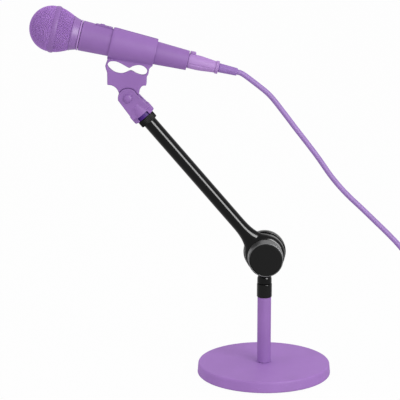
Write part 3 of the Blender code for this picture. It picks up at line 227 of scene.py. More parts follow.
# Camera fitted to the base in the photo, lamps and floor
CAMERA_PLACE = (-0.0732, -2.0, 0.6653)
CAMERA_TILT = math.radians(77)
SENSOR_WIDTH = 36
FOCAL_PIXELS = 1826
PICTURE_PIXELS = 400
KEY_PLACE = (0.9, -1.1, 1.5)
KEY_TARGET = (0, 0, 0.2)
STRIP_TARGET = 0.12
STRIP_DISTANCE = 1.5
STRIP_DIRECTION = (0.576, -0.752, 0.318)
FLOOR_HALF = 6
FLOOR_WHITE = 0.96

# Frames: an origin and three axes
X, Y, Z = np.eye(3)
ARM_AXIS = np.array((-math.sin(ARM_LEAN), 0, math.cos(ARM_LEAN)))
ARM_ACROSS = np.array((math.cos(ARM_LEAN), 0, math.sin(ARM_LEAN)))
HINGE = np.array((0, 0, HINGE_HEIGHT))
PIVOT = HINGE + PIVOT_REACH * ARM_AXIS - ARM_OFFSET * Y
MIC_FORWARD = np.array((-math.cos(MIC_TILT), 0, math.sin(MIC_TILT)))
MIC_UP = np.array((math.sin(MIC_TILT), 0, math.cos(MIC_TILT)))
NECK = PIVOT + MIC_RISE * MIC_UP + NECK_AHEAD * MIC_FORWARD
WORLD = (np.zeros(3), X, Y, Z)
HINGE_FRONT = (HINGE, X, Z, -Y)
ARM = (HINGE - ARM_OFFSET * Y, ARM_ACROSS, Y, ARM_AXIS)
CLIP = (PIVOT, X, Y, Z)
CLIP_FOOT = (PIVOT, ARM_ACROSS, Y, ARM_AXIS)
CLIP_FRONT = (PIVOT, ARM_ACROSS, ARM_AXIS, -Y)
MIC = (NECK, MIC_UP, Y, MIC_FORWARD)


def srgb(red, green, blue):
    """A colour written from 0 to 255, as linear values."""
    share = np.array((red, green, blue)) / 255
    linear = np.where(share <= 0.04045, share / 12.92, ((share + 0.055) / 1.055) ** 2.4)
    return tuple(float(value) for value in linear)


def unit(vectors):
    """Vectors divided by their lengths."""
    return vectors / np.linalg.norm(vectors, axis=-1, keepdims=True)


def put(points, where):
    """Local points in the shared frame: the origin plus each coordinate times its axis."""
    origin, across, side, along = where
    return origin + points[..., :1] * across + points[..., 1:2] * side + points[..., 2:3] * along


def spun(r, angle, z):
    """Points at a radius times the cosine and the sine of an angle, and at a height."""
    return np.stack(np.broadcast_arrays(r * np.cos(angle), r * np.sin(angle), z), axis=-1)


def fan(angle):
    """Rays by angle, with the cosine along the first axis and the sine along the third."""
    return np.stack((np.cos(angle), 0 * angle, np.sin(angle)), axis=-1)


def rounded(outline, radius, closed=False, steps=5):
    """A polyline with each corner replaced by a parabola that touches both sides at the radius from it."""
    outline = np.array(outline, float)
    before = np.roll(outline, 1, axis=0) - outline
    after = np.roll(outline, -1, axis=0) - outline
    reach_before = np.linalg.norm(before, axis=1, keepdims=True)
    reach_after = np.linalg.norm(after, axis=1, keepdims=True)
    radius = np.broadcast_to(np.asarray(radius, float), len(outline))[:, None]
    start = outline + before / reach_before * np.minimum(radius, CORNER_SHARE * reach_before)
    end = outline + after / reach_after * np.minimum(radius, CORNER_SHARE * reach_after)
    t = np.linspace(0, 1, steps)[None, :, None]
    bends = (1 - t) ** 2 * start[:, None] + 2 * t * (1 - t) * outline[:, None] + t**2 * end[:, None]
    if not closed:
        bends[0] = outline[0]
        bends[-1] = outline[-1]
    points = bends.reshape(-1, 2)
    kept = np.append(True, np.linalg.norm(np.diff(points, axis=0), axis=1) > 1e-7)
    return held(points[kept], closed)


def held(points, closed):
    """The same line with two more points close to the ends of each long side, which keep flats flat."""
    points = np.vstack((points, points[:1])) if closed else points
    step = np.diff(points, axis=0)
    length = np.linalg.norm(step, axis=1, keepdims=True)
    inset = np.minimum(HOLD_INSET, length / 4) / length
    many = np.stack((points[:-1], points[:-1] + inset * step, points[1:] - inset * step), axis=1)
    wide = np.repeat(length > LONG_SIDE, 3, axis=1)
    wide[:, 0] = True
    return np.vstack((many[wide], points[-1:]))


def tube(inner, outer, low, high):
    """The outline of a plain ring, or of a disc if its inner radius is 0."""
    return [(inner, high), (outer, high), (outer, low), (inner, low)]


def turned(outline, where, steps=96, radius=0.0003, flutes=None):
    """A surface of revolution of the rounded outline of (r, z), closed to a ring if it keeps off the axis.
    Flutes take off a depth times half of one plus the cosine of count times angle, between two heights."""
    line = rounded(outline, radius, min(r for r, z in outline) > 0)
    angle = np.linspace(0, math.tau, steps + 1)
    r, z = line[:, :1] + 0 * angle, line[:, 1:]
    if flutes:
        count, depth, low, high = flutes
        share = np.clip((z - low) / FLUTE_FADE, 0, 1) * np.clip((high - z) / FLUTE_FADE, 0, 1)
        r = r - depth * share * (0.5 + 0.5 * np.cos(count * angle))
    return put(spun(r, angle, z), where)


def swept(path, section, side):
    """A closed section carried along a path: each point is the path's, plus the section's two coordinates
    along the side and along the cross product of tangent and side. Both ends are drawn to a point."""
    tangent = unit(np.gradient(path, axis=0))
    side = unit(side - np.sum(side * tangent, axis=-1, keepdims=True) * tangent)
    other = np.cross(tangent, side)
    grid = path[:, None] + section[None, :, :1] * side[:, None] + section[None, :, 1:] * other[:, None]
    return np.concatenate((path[:1, None] + 0 * grid[:1], grid, path[-1:, None] + 0 * grid[-1:]))


def circle(radius, steps):
    """A round section: the radius times the cosine and the sine of even angles."""
    return radius * fan(np.linspace(0, math.tau, steps + 1))[:, ::2]


def cast(direction, far, inside):
    """How far each ray goes before it leaves a shape, by halving the stretch between inside and outside."""
    near = np.zeros(direction.shape[:-1])
    far = near + far
    for _ in range(40):
        middle = (near + far) / 2
        within = inside(direction * middle[..., None])
        near = np.where(within, middle, near)
        far = np.where(within, far, middle)
    return near


def ring_loop(half_depth, edge):
    """The section of a flat ring as (share from inner to outer rim, shift, height), with round edges."""
    turn = np.linspace(0, math.pi / 2, 5)
    rise = edge * (1 - np.sin(turn))
    pull = edge * (1 - np.cos(turn))
    across = np.linspace(0, 1, 5)[1:-1]
    shares = [np.ones(5), np.ones(5), 1 - across, np.zeros(5), np.zeros(5), across]
    shifts = [-rise, -pull, 0 * across, rise, pull, 0 * across]
    depths = [-half_depth + pull, half_depth - rise, 0 * across + half_depth]
    depths += [half_depth - pull, rise - half_depth, 0 * across - half_depth]
    loop = np.stack([np.concatenate(parts) for parts in (shares, shifts, depths)], axis=-1)
    return np.vstack((loop, loop[:1]))


def super_radius(angle, half_a, half_b, power):
    """Radius by angle of a rounded rectangle, where the nth powers of x/a and y/b add up to 1."""
    share = np.abs(np.cos(angle) / half_a) ** power + np.abs(np.sin(angle) / half_b) ** power
    return share ** (-1 / power)


def pillow(half_sizes, power, rows=28, columns=56):
    """A block with soft edges, by latitude and turn, where the nth powers of x/a, y/b and z/c add up to 1."""
    lift = np.linspace(-math.pi / 2, math.pi / 2, rows)[:, None]
    ray = spun(np.cos(lift), np.linspace(0, math.tau, columns + 1)[None], np.sin(lift))
    size = np.sum(np.abs(ray / np.array(half_sizes)) ** power, axis=-1, keepdims=True) ** (-1 / power)
    return ray * size


def ribbed_key(half_sizes, power, above, height, pitch):
    """A soft block whose top, past a level on its first axis, has a cosine wave along its third added."""
    key = pillow(half_sizes, power, 60, 64)
    key[..., 0] += np.where(key[..., 0] > above, height * np.cos(key[..., 2] * math.tau / pitch), 0)
    return key


def pocketed(outline, radius, where, pockets, grooves=(), steps=128):
    """A surface of revolution with pockets, where the radius drops by a depth inside a window of angle and
    distance, and grooves, narrow dips at one angle. Rows and columns are doubled at the pockets' edges."""
    line = rounded(outline, radius)
    lip = POCKET_LIP
    rows = [line]
    angles = [np.linspace(-math.pi, math.pi, steps + 1)]
    for low, high, half_angle, depth in pockets:
        edges = np.array((low - lip, low + lip, high - lip, high + lip, (low + high) / 2))
        order = np.argsort(line[:, 1])
        rows.append(np.stack((np.interp(edges, line[order, 1], line[order, 0]), edges), axis=-1))
        angles.append(np.array((-half_angle - 0.005, -half_angle, half_angle, half_angle + 0.005)))
    for at, half_angle, depth, low, high in grooves:
        angles.append(at + half_angle * np.linspace(-1, 1, 9))
    line = np.vstack(rows)
    line = line[np.argsort(-line[:, 1], kind="stable")]
    angle = np.unique(np.round(np.concatenate(angles), 6))
    r, z = line[:, :1] + 0 * angle, line[:, 1:]
    for low, high, half_angle, depth in pockets:
        r = np.where((z > low) & (z < high) & (np.abs(angle) <= half_angle + 1e-6), r - depth, r)
    for at, half_angle, depth, low, high in grooves:
        dip = np.clip(1 - ((angle - at) / half_angle) ** 2, 0, 1)
        fade = np.clip((z - low) / GROOVE_FADE, 0, 1) * np.clip((high - z) / GROOVE_FADE, 0, 1)
        r = r - depth * dip * fade
    return put(spun(r, angle, z), where)


def hexagon(corner_radius, low, high, where):
    """A hexagonal prism whose lower end is cut by a 30 degree cone: radius by angle is the flat's distance
    over the cosine of the angle from the flat's middle."""
    angle = np.linspace(0, math.tau, 97)
    flat = corner_radius * math.cos(math.pi / 6)
    edge = flat / np.cos(np.mod(angle, math.pi / 3) - math.pi / 6)
    face = CHAMFER_SHARE * flat
    bevel = (edge - face) * math.tan(math.pi / 6)
    rings = [(0 * edge, low), (face + 0 * edge, low), (edge, low + bevel), (edge, high)]
    rings += [(face + 0 * edge, high), (0 * edge, high)]
    return put(np.array([spun(r, angle, z) for r, z in rings]), where)


def plate(radius_of, half_depth, edge, where, steps=144):
    """A solid plate whose outline is a radius by angle, closed at its middle on both sides."""
    angle = np.linspace(0, math.tau, steps + 1)
    turn = np.linspace(0, math.pi / 2, 5)
    rise = edge * (1 - np.sin(turn))
    pull = edge * (1 - np.cos(turn))
    reach = radius_of(angle)
    rows = [0 * fan(angle) - half_depth * Y]
    for inset, depth in zip((*rise, *pull), (*(pull - half_depth), *(half_depth - rise))):
        rows.append(fan(angle) * (reach - inset)[:, None] + depth * Y)
    rows.append(0 * fan(angle) + half_depth * Y)
    return put(np.array(rows), where)


def smooth_curve(points, per_stretch):
    """A smooth curve through points: on each stretch a cubic, whose slope at a point is half the step from
    the point before to the point after."""
    points = np.vstack((2 * points[0] - points[1], points, 2 * points[-1] - points[-2]))
    t = np.linspace(0, 1, per_stretch, endpoint=False)[None, :, None]
    a, b, c, d = (points[i : len(points) - 3 + i, None] for i in range(4))
    fine = 2 * b + (c - a) * t + (2 * a - 5 * b + 4 * c - d) * t**2 + (3 * b - a - 3 * c + d) * t**3
    return np.vstack((0.5 * fine.reshape(-1, points.shape[1]), points[-2]))


def evenly(points, spacing):
    """Points at even distances along a polyline."""
    along = np.concatenate(((0,), np.cumsum(np.linalg.norm(np.diff(points, axis=0), axis=1))))
    at = np.linspace(0, along[-1], max(3, round(along[-1] / spacing)) + 1)
    return np.stack([np.interp(at, along, points[:, i]) for i in range(3)], axis=-1)


def ease(share):
    """A soft step from 0 to 1: three times the square less twice the cube."""
    return share * share * (3 - 2 * share)


def coil_points(turns):
    """The coil by turns made: the radius goes in and out layer by layer, with half a turn to fall between."""
    layer_turns = SPIRAL_TURNS + COIL_CLIMB
    layer = np.minimum(np.floor(turns / layer_turns), COIL_LAYERS - 1)
    within = turns - layer * layer_turns
    inwards = np.minimum(within / SPIRAL_TURNS, 1)
    even = np.mod(layer, 2) == 0
    first = np.where(even, COIL_OUTER, COIL_INNER)
    last = np.where(even, COIL_INNER, COIL_OUTER)
    fall = np.where(layer < COIL_LAYERS - 1, ease(np.maximum(within - SPIRAL_TURNS, 0) / COIL_CLIMB), 0)
    height = COIL_FLOOR + COIL_LAYER * (COIL_LAYERS - 1 - layer - fall)
    angle = math.tau * turns - math.pi / 2
    return spun(first + (last - first) * inwards, angle, height) + (COIL_X, COIL_Y, 0)


def handle_radius(along):
    """The handle's radius: a slow taper from neck to waist, and a faster one to the tail."""
    stations = (HANDLE_TAIL, HANDLE_WAIST, 0)
    return np.interp(along, stations, (HANDLE_TAIL_RADIUS, HANDLE_WAIST_RADIUS, HANDLE_NECK_RADIUS))


def build(name, grids, sharp=42):
    """One mesh from grids of points, joined by quads. Seams and poles are merged, and UV holds the share
    across each grid and the distance along it in metres."""
    points, faces, places = [], [], []
    first = 0
    for grid in grids:
        rows, columns = grid.shape[:2]
        index = first + np.arange(rows * columns).reshape(rows, columns)
        quads = np.stack((index[:-1, :-1], index[:-1, 1:], index[1:, 1:], index[1:, :-1]), axis=-1)
        step = np.linalg.norm(np.diff(grid, axis=0), axis=-1).mean(axis=1)
        along = np.concatenate(((0,), np.cumsum(step)))
        share = np.linspace(0, 1, columns)
        places.append(np.stack(np.broadcast_arrays(share[None], along[:, None]), axis=-1).reshape(-1, 2))
        points.append(grid.reshape(-1, 3))
        faces.append(quads.reshape(-1, 4))
        first += rows * columns
    faces = np.concatenate(faces)
    mesh = bpy.data.meshes.new(name)
    mesh.from_pydata(np.concatenate(points).tolist(), [], faces.tolist())
    layer = mesh.uv_layers.new(name="surface")
    layer.data.foreach_set("uv", np.concatenate(places)[faces.ravel()].ravel())
    weld = bmesh.new()
    weld.from_mesh(mesh)
    bmesh.ops.remove_doubles(weld, verts=weld.verts, dist=MERGE_DISTANCE)
    bmesh.ops.dissolve_degenerate(weld, edges=weld.edges, dist=FLAT_DISTANCE)
    bmesh.ops.recalc_face_normals(weld, faces=weld.faces)
    weld.to_mesh(mesh)
    weld.free()
    mesh.shade_smooth()
    mesh.set_sharp_from_angle(angle=math.radians(sharp))
    obj = bpy.data.objects.new(name, mesh)
    bpy.context.scene.collection.objects.link(obj)
    return obj


def fused(name, grids, voxel, rounds):
    """One skin round overlapping closed shells, with the lines where they meet softened."""
    obj = build(name, grids)
    skin = obj.modifiers.new("skin", "REMESH")
    skin.mode = "VOXEL"
    skin.voxel_size = voxel
    soften = obj.modifiers.new("soften", "SMOOTH")
    soften.factor = 0.5
    soften.iterations = rounds
    graph = bpy.context.evaluated_depsgraph_get()
    mesh = bpy.data.meshes.new_from_object(obj.evaluated_get(graph))
    obj.modifiers.clear()
    obj.data = mesh
    mesh.name = name
    mesh.shade_smooth()
    return obj


def dress(obj, finish, body, node):
    """Gives a piece its finish, the body that it rides on and the solid that it stands for."""
    obj.data.materials.clear()
    obj.data.materials.append(finish)
    if body:
        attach(obj, body)
    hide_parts(node)
    return obj


def piece(node, word, grids, finish, body, sharp=42):
    """A piece from its grids, named by the solid that it stands for and one more word."""
    return dress(build(f"{node}_{word}", grids, sharp), finish, body, node)


def coat(finish, *nodes):
    """Gives solids that stay as they are their finish."""
    for node in nodes:
        NODES[node].data.materials.clear()
        NODES[node].data.materials.append(finish)


class Wire:
    """An output of a node. Its operators add Math nodes."""

    def __init__(self, nodes, output):
        self.nodes = nodes
        self.output = output

    def math(self, operation, *values):
        return self.nodes.node("ShaderNodeMath", {"operation": operation}, *values)

    def __add__(self, other):
        return self.math("ADD", self, other)

    __radd__ = __add__

    def __sub__(self, other):
        return self.math("SUBTRACT", self, other)

    def __rsub__(self, other):
        return self.math("SUBTRACT", other, self)

    def __mul__(self, other):
        return self.math("MULTIPLY", self, other)

    __rmul__ = __mul__

    def __gt__(self, other):
        return self.math("GREATER_THAN", self, other)

    def __lt__(self, other):
        return self.math("LESS_THAN", self, other)

    def larger(self, other):
        return self.math("MAXIMUM", self, other)

    def sine(self):
        return self.math("SINE", self)

    def ramp(self, low, high):
        """0 below low, 1 above high, and a smooth rise between them."""
        settings = {"interpolation_type": "SMOOTHSTEP"}
        return self.nodes.node("ShaderNodeMapRange", settings, self, low, high, 0.0, 1.0)


class Nodes:
    """The nodes of a material or a world."""

    def __init__(self, tree):
        self.tree = tree

    def node(self, kind, settings=None, *values, output=0, **named):
        """A node of a type: its settings first, then the values or links of its sockets."""
        made = self.tree.nodes.new(kind)
        for key, value in (settings or {}).items():
            setattr(made, key, value)
        for socket, value in list(enumerate(values)) + list(named.items()):
            if isinstance(value, Wire):
                self.tree.links.new(value.output, made.inputs[socket])
            elif value is not None:
                made.inputs[socket].default_value = value
        return Wire(self, made.outputs[output])

    def feed(self, owner, socket, wire):
        """Links a wire to a socket of a node that is already there."""
        self.tree.links.new(wire.output, self.tree.nodes[owner].inputs[socket])

    def seen_ray(self):
        """1 for the rays that show the background: from the camera, a reflection or a transmission."""
        kinds = ("Camera", "Glossy", "Transmission")
        rays = [self.node("ShaderNodeLightPath", output=f"Is {kind} Ray") for kind in kinds]
        return rays[0].larger(rays[1]).larger(rays[2])


class Finish(Nodes):
    """A material and its nodes."""

    def __init__(self, name, **constants):
        self.material = bpy.data.materials.new(name)
        self.material.use_nodes = True
        super().__init__(self.material.node_tree)
        self.object = self.node("ShaderNodeTexCoord", output="Object")
        for socket, value in constants.items():
            self.tree.nodes["Principled BSDF"].inputs[socket.replace("_", " ")].default_value = value

    def noise(self, scale, detail=2.0):
        return self.node("ShaderNodeTexNoise", None, Vector=self.object, Scale=scale, Detail=detail)

    def cells(self, scale):
        return self.node("ShaderNodeTexVoronoi", None, Vector=self.object, Scale=scale)

    def place_on(self):
        """The piece's own UV: the share across and the metres along."""
        surface = self.node("ShaderNodeTexCoord", output="UV")
        return [self.node("ShaderNodeSeparateXYZ", None, surface, output=letter) for letter in "XY"]

    def axis(self, letter):
        return self.node("ShaderNodeSeparateXYZ", None, self.object, output=letter)

    def mix(self, share, *colours):
        """A colour between two, each a colour or a link."""
        ends = [colour if isinstance(colour, Wire) else (*colour, 1) for colour in colours]
        # The two colour sockets come sixth and seventh after the share
        unused = 5 * [None]
        return self.node("ShaderNodeMix", {"data_type": "RGBA"}, share, *unused, *ends, output=2)

    def mottled(self, colour, spread, scale):
        """A colour that drifts a little lighter and darker over the surface."""
        drift = self.noise(scale, 3.0).ramp(0.3, 0.7)
        return self.mix(drift, tone(colour, 1 - spread), tone(colour, 1 + spread))

    def set(self, socket, wire):
        self.feed("Principled BSDF", socket, wire)

    def surface(self, colour, roughness, height, strength, distance):
        """Links colour, roughness and the bump of a height, and gives back the material."""
        bump = {"Height": height, "Strength": strength, "Distance": distance}
        self.set("Base Color", colour)
        self.set("Roughness", roughness)
        self.set("Normal", self.node("ShaderNodeBump", None, output="Normal", **bump))
        return self.material


def tone(colour, factor):
    """A colour times a factor, each channel at most 1."""
    return tuple(min(channel * factor, 1.0) for channel in colour)


def powder_coat(name, colour):
    """Baked powder paint: a fine orange peel, a soft sheen, and paler scuffs on the outer rim."""
    made = Finish(name, Specular_IOR_Level=0.10)
    x, y = (made.axis(letter) for letter in "XY")
    rim = (x * x + y * y).ramp(SCUFF_START**2, SCUFF_FULL**2)
    scuff = rim * made.noise(420, 4.0).ramp(0.58, 0.72) * 0.35
    paint = made.mix(scuff, made.mottled(colour, 0.03, 26), tone(colour, 1.25))
    peel = made.noise(1400) + 0.5 * made.noise(5200)
    return made.surface(paint, 0.52 + 0.14 * made.noise(60), peel, 0.16, 0.00020)


def satin_paint(name, colour, roughness=0.48, shine=0.10):
    """Smooth satin paint with a faint orange peel and a few fine rub marks."""
    made = Finish(name, Specular_IOR_Level=shine)
    rub = made.noise(95, 6.0).ramp(0.62, 0.75) * 0.30
    paint = made.mix(rub, made.mottled(colour, 0.025, 34), tone(colour, 1.12))
    return made.surface(paint, roughness + 0.12 * made.noise(140, 3.0), made.noise(1900), 0.08, 0.00012)


def moulded(name, colour, roughness=0.46):
    """Moulded plastic with a spark-eroded grain, and polished high spots."""
    made = Finish(name, Specular_IOR_Level=0.10)
    grain = made.noise(3000, 3.0)
    skin = grain + 0.4 * made.cells(1800)
    return made.surface(made.mottled(colour, 0.03, 40), roughness + 0.16 * grain, skin, 0.14, 0.00016)


def rubbery(name, colour):
    """Matt rubber with a dusty bloom."""
    made = Finish(name, Specular_IOR_Level=0.15)
    bloom = made.noise(70, 5.0).ramp(0.45, 0.75) * 0.25
    dusty = made.mix(bloom, colour, tone(colour, 1.15))
    return made.surface(dusty, 0.66 + 0.18 * made.noise(900), made.noise(2400, 3.0), 0.12, 0.00015)


def jacket(name, colour):
    """Cable jacket: matt, with the lay of the cores just showing as a slow helix, and fine scuffs."""
    made = Finish(name, Specular_IOR_Level=0.28)
    around, along = made.place_on()
    lay = (math.tau * (around * 2 + along * 55)).sine()
    scuff = made.noise(240, 5.0).ramp(0.55, 0.75) * 0.22
    skin = made.mix(scuff, made.mottled(colour, 0.035, 60), tone(colour, 1.14))
    grain = lay * 0.35 + made.noise(2600, 3.0)
    return made.surface(skin, 0.56 + 0.16 * made.noise(700), grain, 0.14, 0.00018)


def turned_metal(name, colour, roughness=0.52):
    """Lathe-turned metal under a thin tint: fine rings round the piece, and a soft satin."""
    made = Finish(name, Specular_IOR_Level=0.14)
    along = made.place_on()[1]
    rings = (math.tau * along * 3300 + 2.0 * made.noise(300)).sine()
    satin = roughness + 0.06 * rings + 0.08 * made.noise(260)
    return made.surface(made.mottled(colour, 0.03, 70), satin, rings, 0.05, 0.00006)


def gloss_black(name, colour):
    """Gloss black enamel on a casting: deep, slightly rippled, with a little dust."""
    made = Finish(name, Specular_IOR_Level=0.12, Coat_Roughness=0.06)
    dust = made.cells(900).ramp(0.10, 0.02) * made.noise(40, 3.0).ramp(0.50, 0.70) * 0.16
    made.set("Coat Weight", 0.02 + 0.04 * made.noise(25))
    enamel = made.mix(dust, colour, tone(colour, 6))
    return made.surface(enamel, 0.11 + 0.08 * made.noise(70, 4.0), made.noise(420), 0.012, 0.00020)


def satin_black(name, colour, grain=2600):
    """Satin black with a fine sanded grain that catches the light."""
    made = Finish(name, Specular_IOR_Level=0.07)
    speck = made.noise(grain, 4.0)
    sanded = made.mix(speck.ramp(0.45, 0.75) * 0.5, tone(colour, 0.9), tone(colour, 1.7))
    return made.surface(sanded, 0.40 + 0.18 * speck, speck, 0.22, 0.0002)


def satin_rim(name):
    """Dark satin metal of the knob's rim, finely specked."""
    made = Finish(name, Specular_IOR_Level=0.6, Metallic=0.55)
    speck = made.noise(2400, 3.0)
    metal = made.mix(speck.ramp(0.4, 0.7), srgb(66, 66, 67), srgb(92, 92, 93))
    return made.surface(metal, 0.34 + 0.14 * speck, speck, 0.12, 0.00012)


def plated(name, colour, roughness=0.28):
    """Plated or bare metal, drawn in one direction, with faint stains."""
    made = Finish(name, Metallic=1.0)
    stain = made.noise(120, 5.0).ramp(0.5, 0.8) * 0.3
    metal = made.mix(stain, colour, tone(colour, 0.7))
    return made.surface(metal, roughness + 0.16 * made.noise(1500, 4.0), made.noise(2200), 0.05, 0.00008)


def open_foam(name, colour):
    """Open-cell foam: round pores between thin walls, with painted shade darkening each pore towards its
    middle.
    """
    made = Finish(name, Specular_IOR_Level=0.15)
    pores = made.cells(1100)
    # Painted shade: darker at each pore's middle, lighter on the walls between the pores
    foam = made.mix(pores.ramp(0.15, 0.6), tone(colour, 0.55), tone(colour, 1.2))
    return made.surface(foam, 0.85 + 0.1 * pores, pores, 0.5, 0.0005)


def woven_strap(name, colour):
    """Woven hook-and-loop strap: a tight plain weave and a napped edge."""
    made = Finish(name, Specular_IOR_Level=0.2, Sheen_Weight=0.3)
    x, y, z = (made.axis(letter) for letter in "XYZ")
    warp = ((x * math.cos(TIE_ANGLE) + y * math.sin(TIE_ANGLE) + z) * 5200).sine()
    weft = ((y * math.cos(TIE_ANGLE) - x * math.sin(TIE_ANGLE)) * 5200).sine()
    weave = warp * weft
    nap = made.noise(4000, 4.0)
    strap = made.mix(weave.ramp(-0.8, 0.8), tone(colour, 0.6), tone(colour, 1.5))
    return made.surface(strap, 0.80 + 0.12 * nap, weave + nap, 0.4, 0.0003)


def jack_pin(name, colour):
    """A plated pin with two dark insulating rings, by the metres along its outline."""
    made = Finish(name)
    along = made.place_on()[1]
    first, second = ((along > low) * (along < high) for low, high in JACK_RINGS)
    ring = first + second
    made.set("Metallic", 1 - ring)
    metal = made.mix(ring, made.mottled(colour, 0.04, 200), srgb(22, 22, 24))
    return made.surface(metal, 0.2 + 0.3 * ring + 0.1 * made.noise(900), made.noise(1500), 0.04, 0.00006)


def shade(name, description, colour):
    """A colour that the panel shows."""
    return FloatVectorProperty(name=name, description=description, subtype="COLOR", size=3, default=colour)


class BoomFinishes(bpy.types.PropertyGroup):
    """Colours of the microphone and its stand."""

    purple: shade("Purple", "Paint of the stand", srgb(156, 115, 184))
    shell: shade("Shell", "Lacquer of the handle", srgb(150, 110, 178))
    mesh: shade("Mesh", "Wire of the ball grille", srgb(178, 132, 208))
    lilac: shade("Lilac", "Connector and ring", srgb(180, 139, 205))
    rubber: shade("Cable", "Cable jacket and boots", srgb(153, 116, 186))
    black: shade("Black", "Enamel of the arm and hinge", srgb(9, 9, 10))


class BoomSizes(bpy.types.PropertyGroup):
    """Fine sizes of the dressing."""

    wire_pitch: FloatProperty(
        name="Wire Pitch", description="Spacing of the grille's wires", default=0.0015, subtype="DISTANCE"
    )
    wire_radius: FloatProperty(
        name="Wire Radius", description="Radius of the grille's wires", default=0.00042, subtype="DISTANCE"
    )
    soft_edge: FloatProperty(
        name="Soft Edge", description="Rounding of moulded edges", default=0.0008, subtype="DISTANCE"
    )


class BoomStage(bpy.types.PropertyGroup):
    """Light and floor."""

    sky: FloatProperty(name="Sky", description="Light from all round", default=0.82, min=0)
    key: FloatProperty(name="Key", description="Power of the main lamp", default=10, min=0, subtype="POWER")
    strip: FloatProperty(name="Strip", description="Power of the strip", default=84, min=0, subtype="POWER")
    floor: shade("Floor", "Colour of the floor", (0.78, 0.78, 0.78))


def area_lamp(name, place, target, size, power, up):
    """A rectangular lamp that faces a target, its height as near to a direction as that allows."""
    lamp = bpy.data.lights.new(name, "AREA")
    lamp.shape = "RECTANGLE"
    lamp.size, lamp.size_y = size
    lamp.energy = power
    obj = bpy.data.objects.new(name, lamp)
    bpy.context.scene.collection.objects.link(obj)
    back = unit(np.subtract(place, target))
    side = unit(np.cross(up, back))
    axes = Matrix((side, np.cross(back, side), back)).transposed()
    obj.matrix_world = Matrix.Translation(place) @ axes.to_4x4()
    return obj


def pale_floor(settings):
    """A plain floor, nearly white where it shows as background, so that a faint shadow stays."""
    side = np.linspace(-FLOOR_HALF, FLOOR_HALF, 3)
    grid = np.stack(np.broadcast_arrays(side[None], side[:, None], np.zeros((3, 3))), axis=-1)
    floor = build("floor", [grid])
    made = bpy.data.materials.new("pale_floor")
    made.use_nodes = True
    nodes = Nodes(made.node_tree)
    lit = nodes.node("ShaderNodeBsdfDiffuse", Color=(*settings.floor, 1))
    white = nodes.node("ShaderNodeEmission")
    mixed = nodes.node("ShaderNodeMixShader", None, FLOOR_WHITE * nodes.seen_ray(), lit, white)
    nodes.feed("Material Output", "Surface", mixed)
    floor.data.materials.append(made)


def white_sky(scene, settings):
    """A white room, dimmer as light than it looks."""
    world = bpy.data.worlds.new("white_room")
    scene.world = world
    world.use_nodes = True
    nodes = Nodes(world.node_tree)
    nodes.tree.nodes["Background"].inputs["Color"].default_value = (1, 1, 1, 1)
    nodes.feed("Background", "Strength", settings.sky + (1 - settings.sky) * nodes.seen_ray())


class BOOM_OT_stage(bpy.types.Operator):
    """Camera, pale floor and soft light"""

    bl_idname = "boom.stage"
    bl_label = "Stage"

    def execute(self, context):
        scene = context.scene
        settings = scene.boom_stage
        scene.view_settings.view_transform = "Standard"
        lens = bpy.data.cameras.new("camera")
        lens.sensor_width = SENSOR_WIDTH
        lens.lens = SENSOR_WIDTH * FOCAL_PIXELS / PICTURE_PIXELS
        camera = bpy.data.objects.new("camera", lens)
        camera.location = CAMERA_PLACE
        camera.rotation_euler = (CAMERA_TILT, 0, 0)
        scene.collection.objects.link(camera)
        scene.camera = camera
        pale_floor(settings)
        white_sky(scene, settings)
        area_lamp("key", KEY_PLACE, KEY_TARGET, (0.9, 0.9), settings.key, Z)
        middle = HINGE + STRIP_TARGET * ARM_AXIS
        place = middle + STRIP_DISTANCE * np.array(STRIP_DIRECTION)
        strip = area_lamp("strip", place, middle, (0.62, 1.2), settings.strip, ARM_AXIS)
        strip.visible_diffuse = False
        return {"FINISHED"}


class PieceOperator:
    """What the operators that make pieces share."""

    bl_options = {"REGISTER", "UNDO"}

    def execute(self, context):
        self.make(context.scene.boom_finishes)
        return {"FINISHED"}


class BOOM_OT_base(PieceOperator, bpy.types.Operator):
    """Round base, its pad, and the pole"""

    bl_idname = "boom.base"
    bl_label = "Base and Pole"

    def make(self, finishes):
        bore, nut_room, pad_room = 0.0061, 0.0105, 0.0693
        pad_ceiling, nut_ceiling = 0.0020, 0.0073
        outline = [(bore, BASE_HEIGHT), (BASE_TOP_RADIUS, BASE_HEIGHT), (BASE_RADIUS, BASE_LOW + 0.0010)]
        outline += [(BASE_TOP_RADIUS, BASE_LOW), (pad_room, BASE_LOW), (pad_room, pad_ceiling)]
        outline += [(nut_room, pad_ceiling), (nut_room, nut_ceiling), (bore, nut_ceiling)]
        edges = (0.0004, 0.0022, 0.0006, 0.0004, *5 * (0.0002,))
        paint = powder_coat("purple_powder_coat", tone(finishes.purple, 1.13))
        skin = turned(outline, WORLD, 192, edges)
        piece("base_plate", "painted", [skin], paint, "stand")
        groove = ((0, 0), (0.0006, 0.0004), (0.0018, 0.0004), (0.0024, 0))
        outline = [(0, PAD_THICKNESS), (PAD_RADIUS, PAD_THICKNESS), (PAD_RADIUS, 0)]
        for radius in (0.062, 0.056, 0.050, 0.044):
            outline += [(radius - inset, height) for inset, height in groove]
        skin = turned(outline + [(0, 0)], WORLD, 128)
        rubber = rubbery("black_rubber", srgb(30, 30, 32))
        piece("base_pad", "rubber", [skin], rubber, "stand")
        thread, spigot, screw_hole, bore = POLE_THREAD_RADIUS, 0.0058, 0.0030, 0.0039
        top, foot, low = POLE_TOP + POLE_THREAD_LENGTH, BASE_HEIGHT + FIT, 0.0026
        outline = [(thread, top), (thread, POLE_TOP), (POLE_RADIUS, POLE_TOP), (POLE_RADIUS, foot)]
        outline += [(spigot, foot), (spigot, low), (screw_hole, low), (screw_hole, 0.0164)]
        outline += [(bore, 0.0188), (bore, top)]
        paint = satin_paint("purple_pole_paint", tone(finishes.purple, 1.04))
        piece("pole", "painted", [turned(outline, WORLD, 96, 0.0005)], paint, "stand")
        coat(plated("zinc_plate", srgb(168, 168, 172)), "pole_nut")


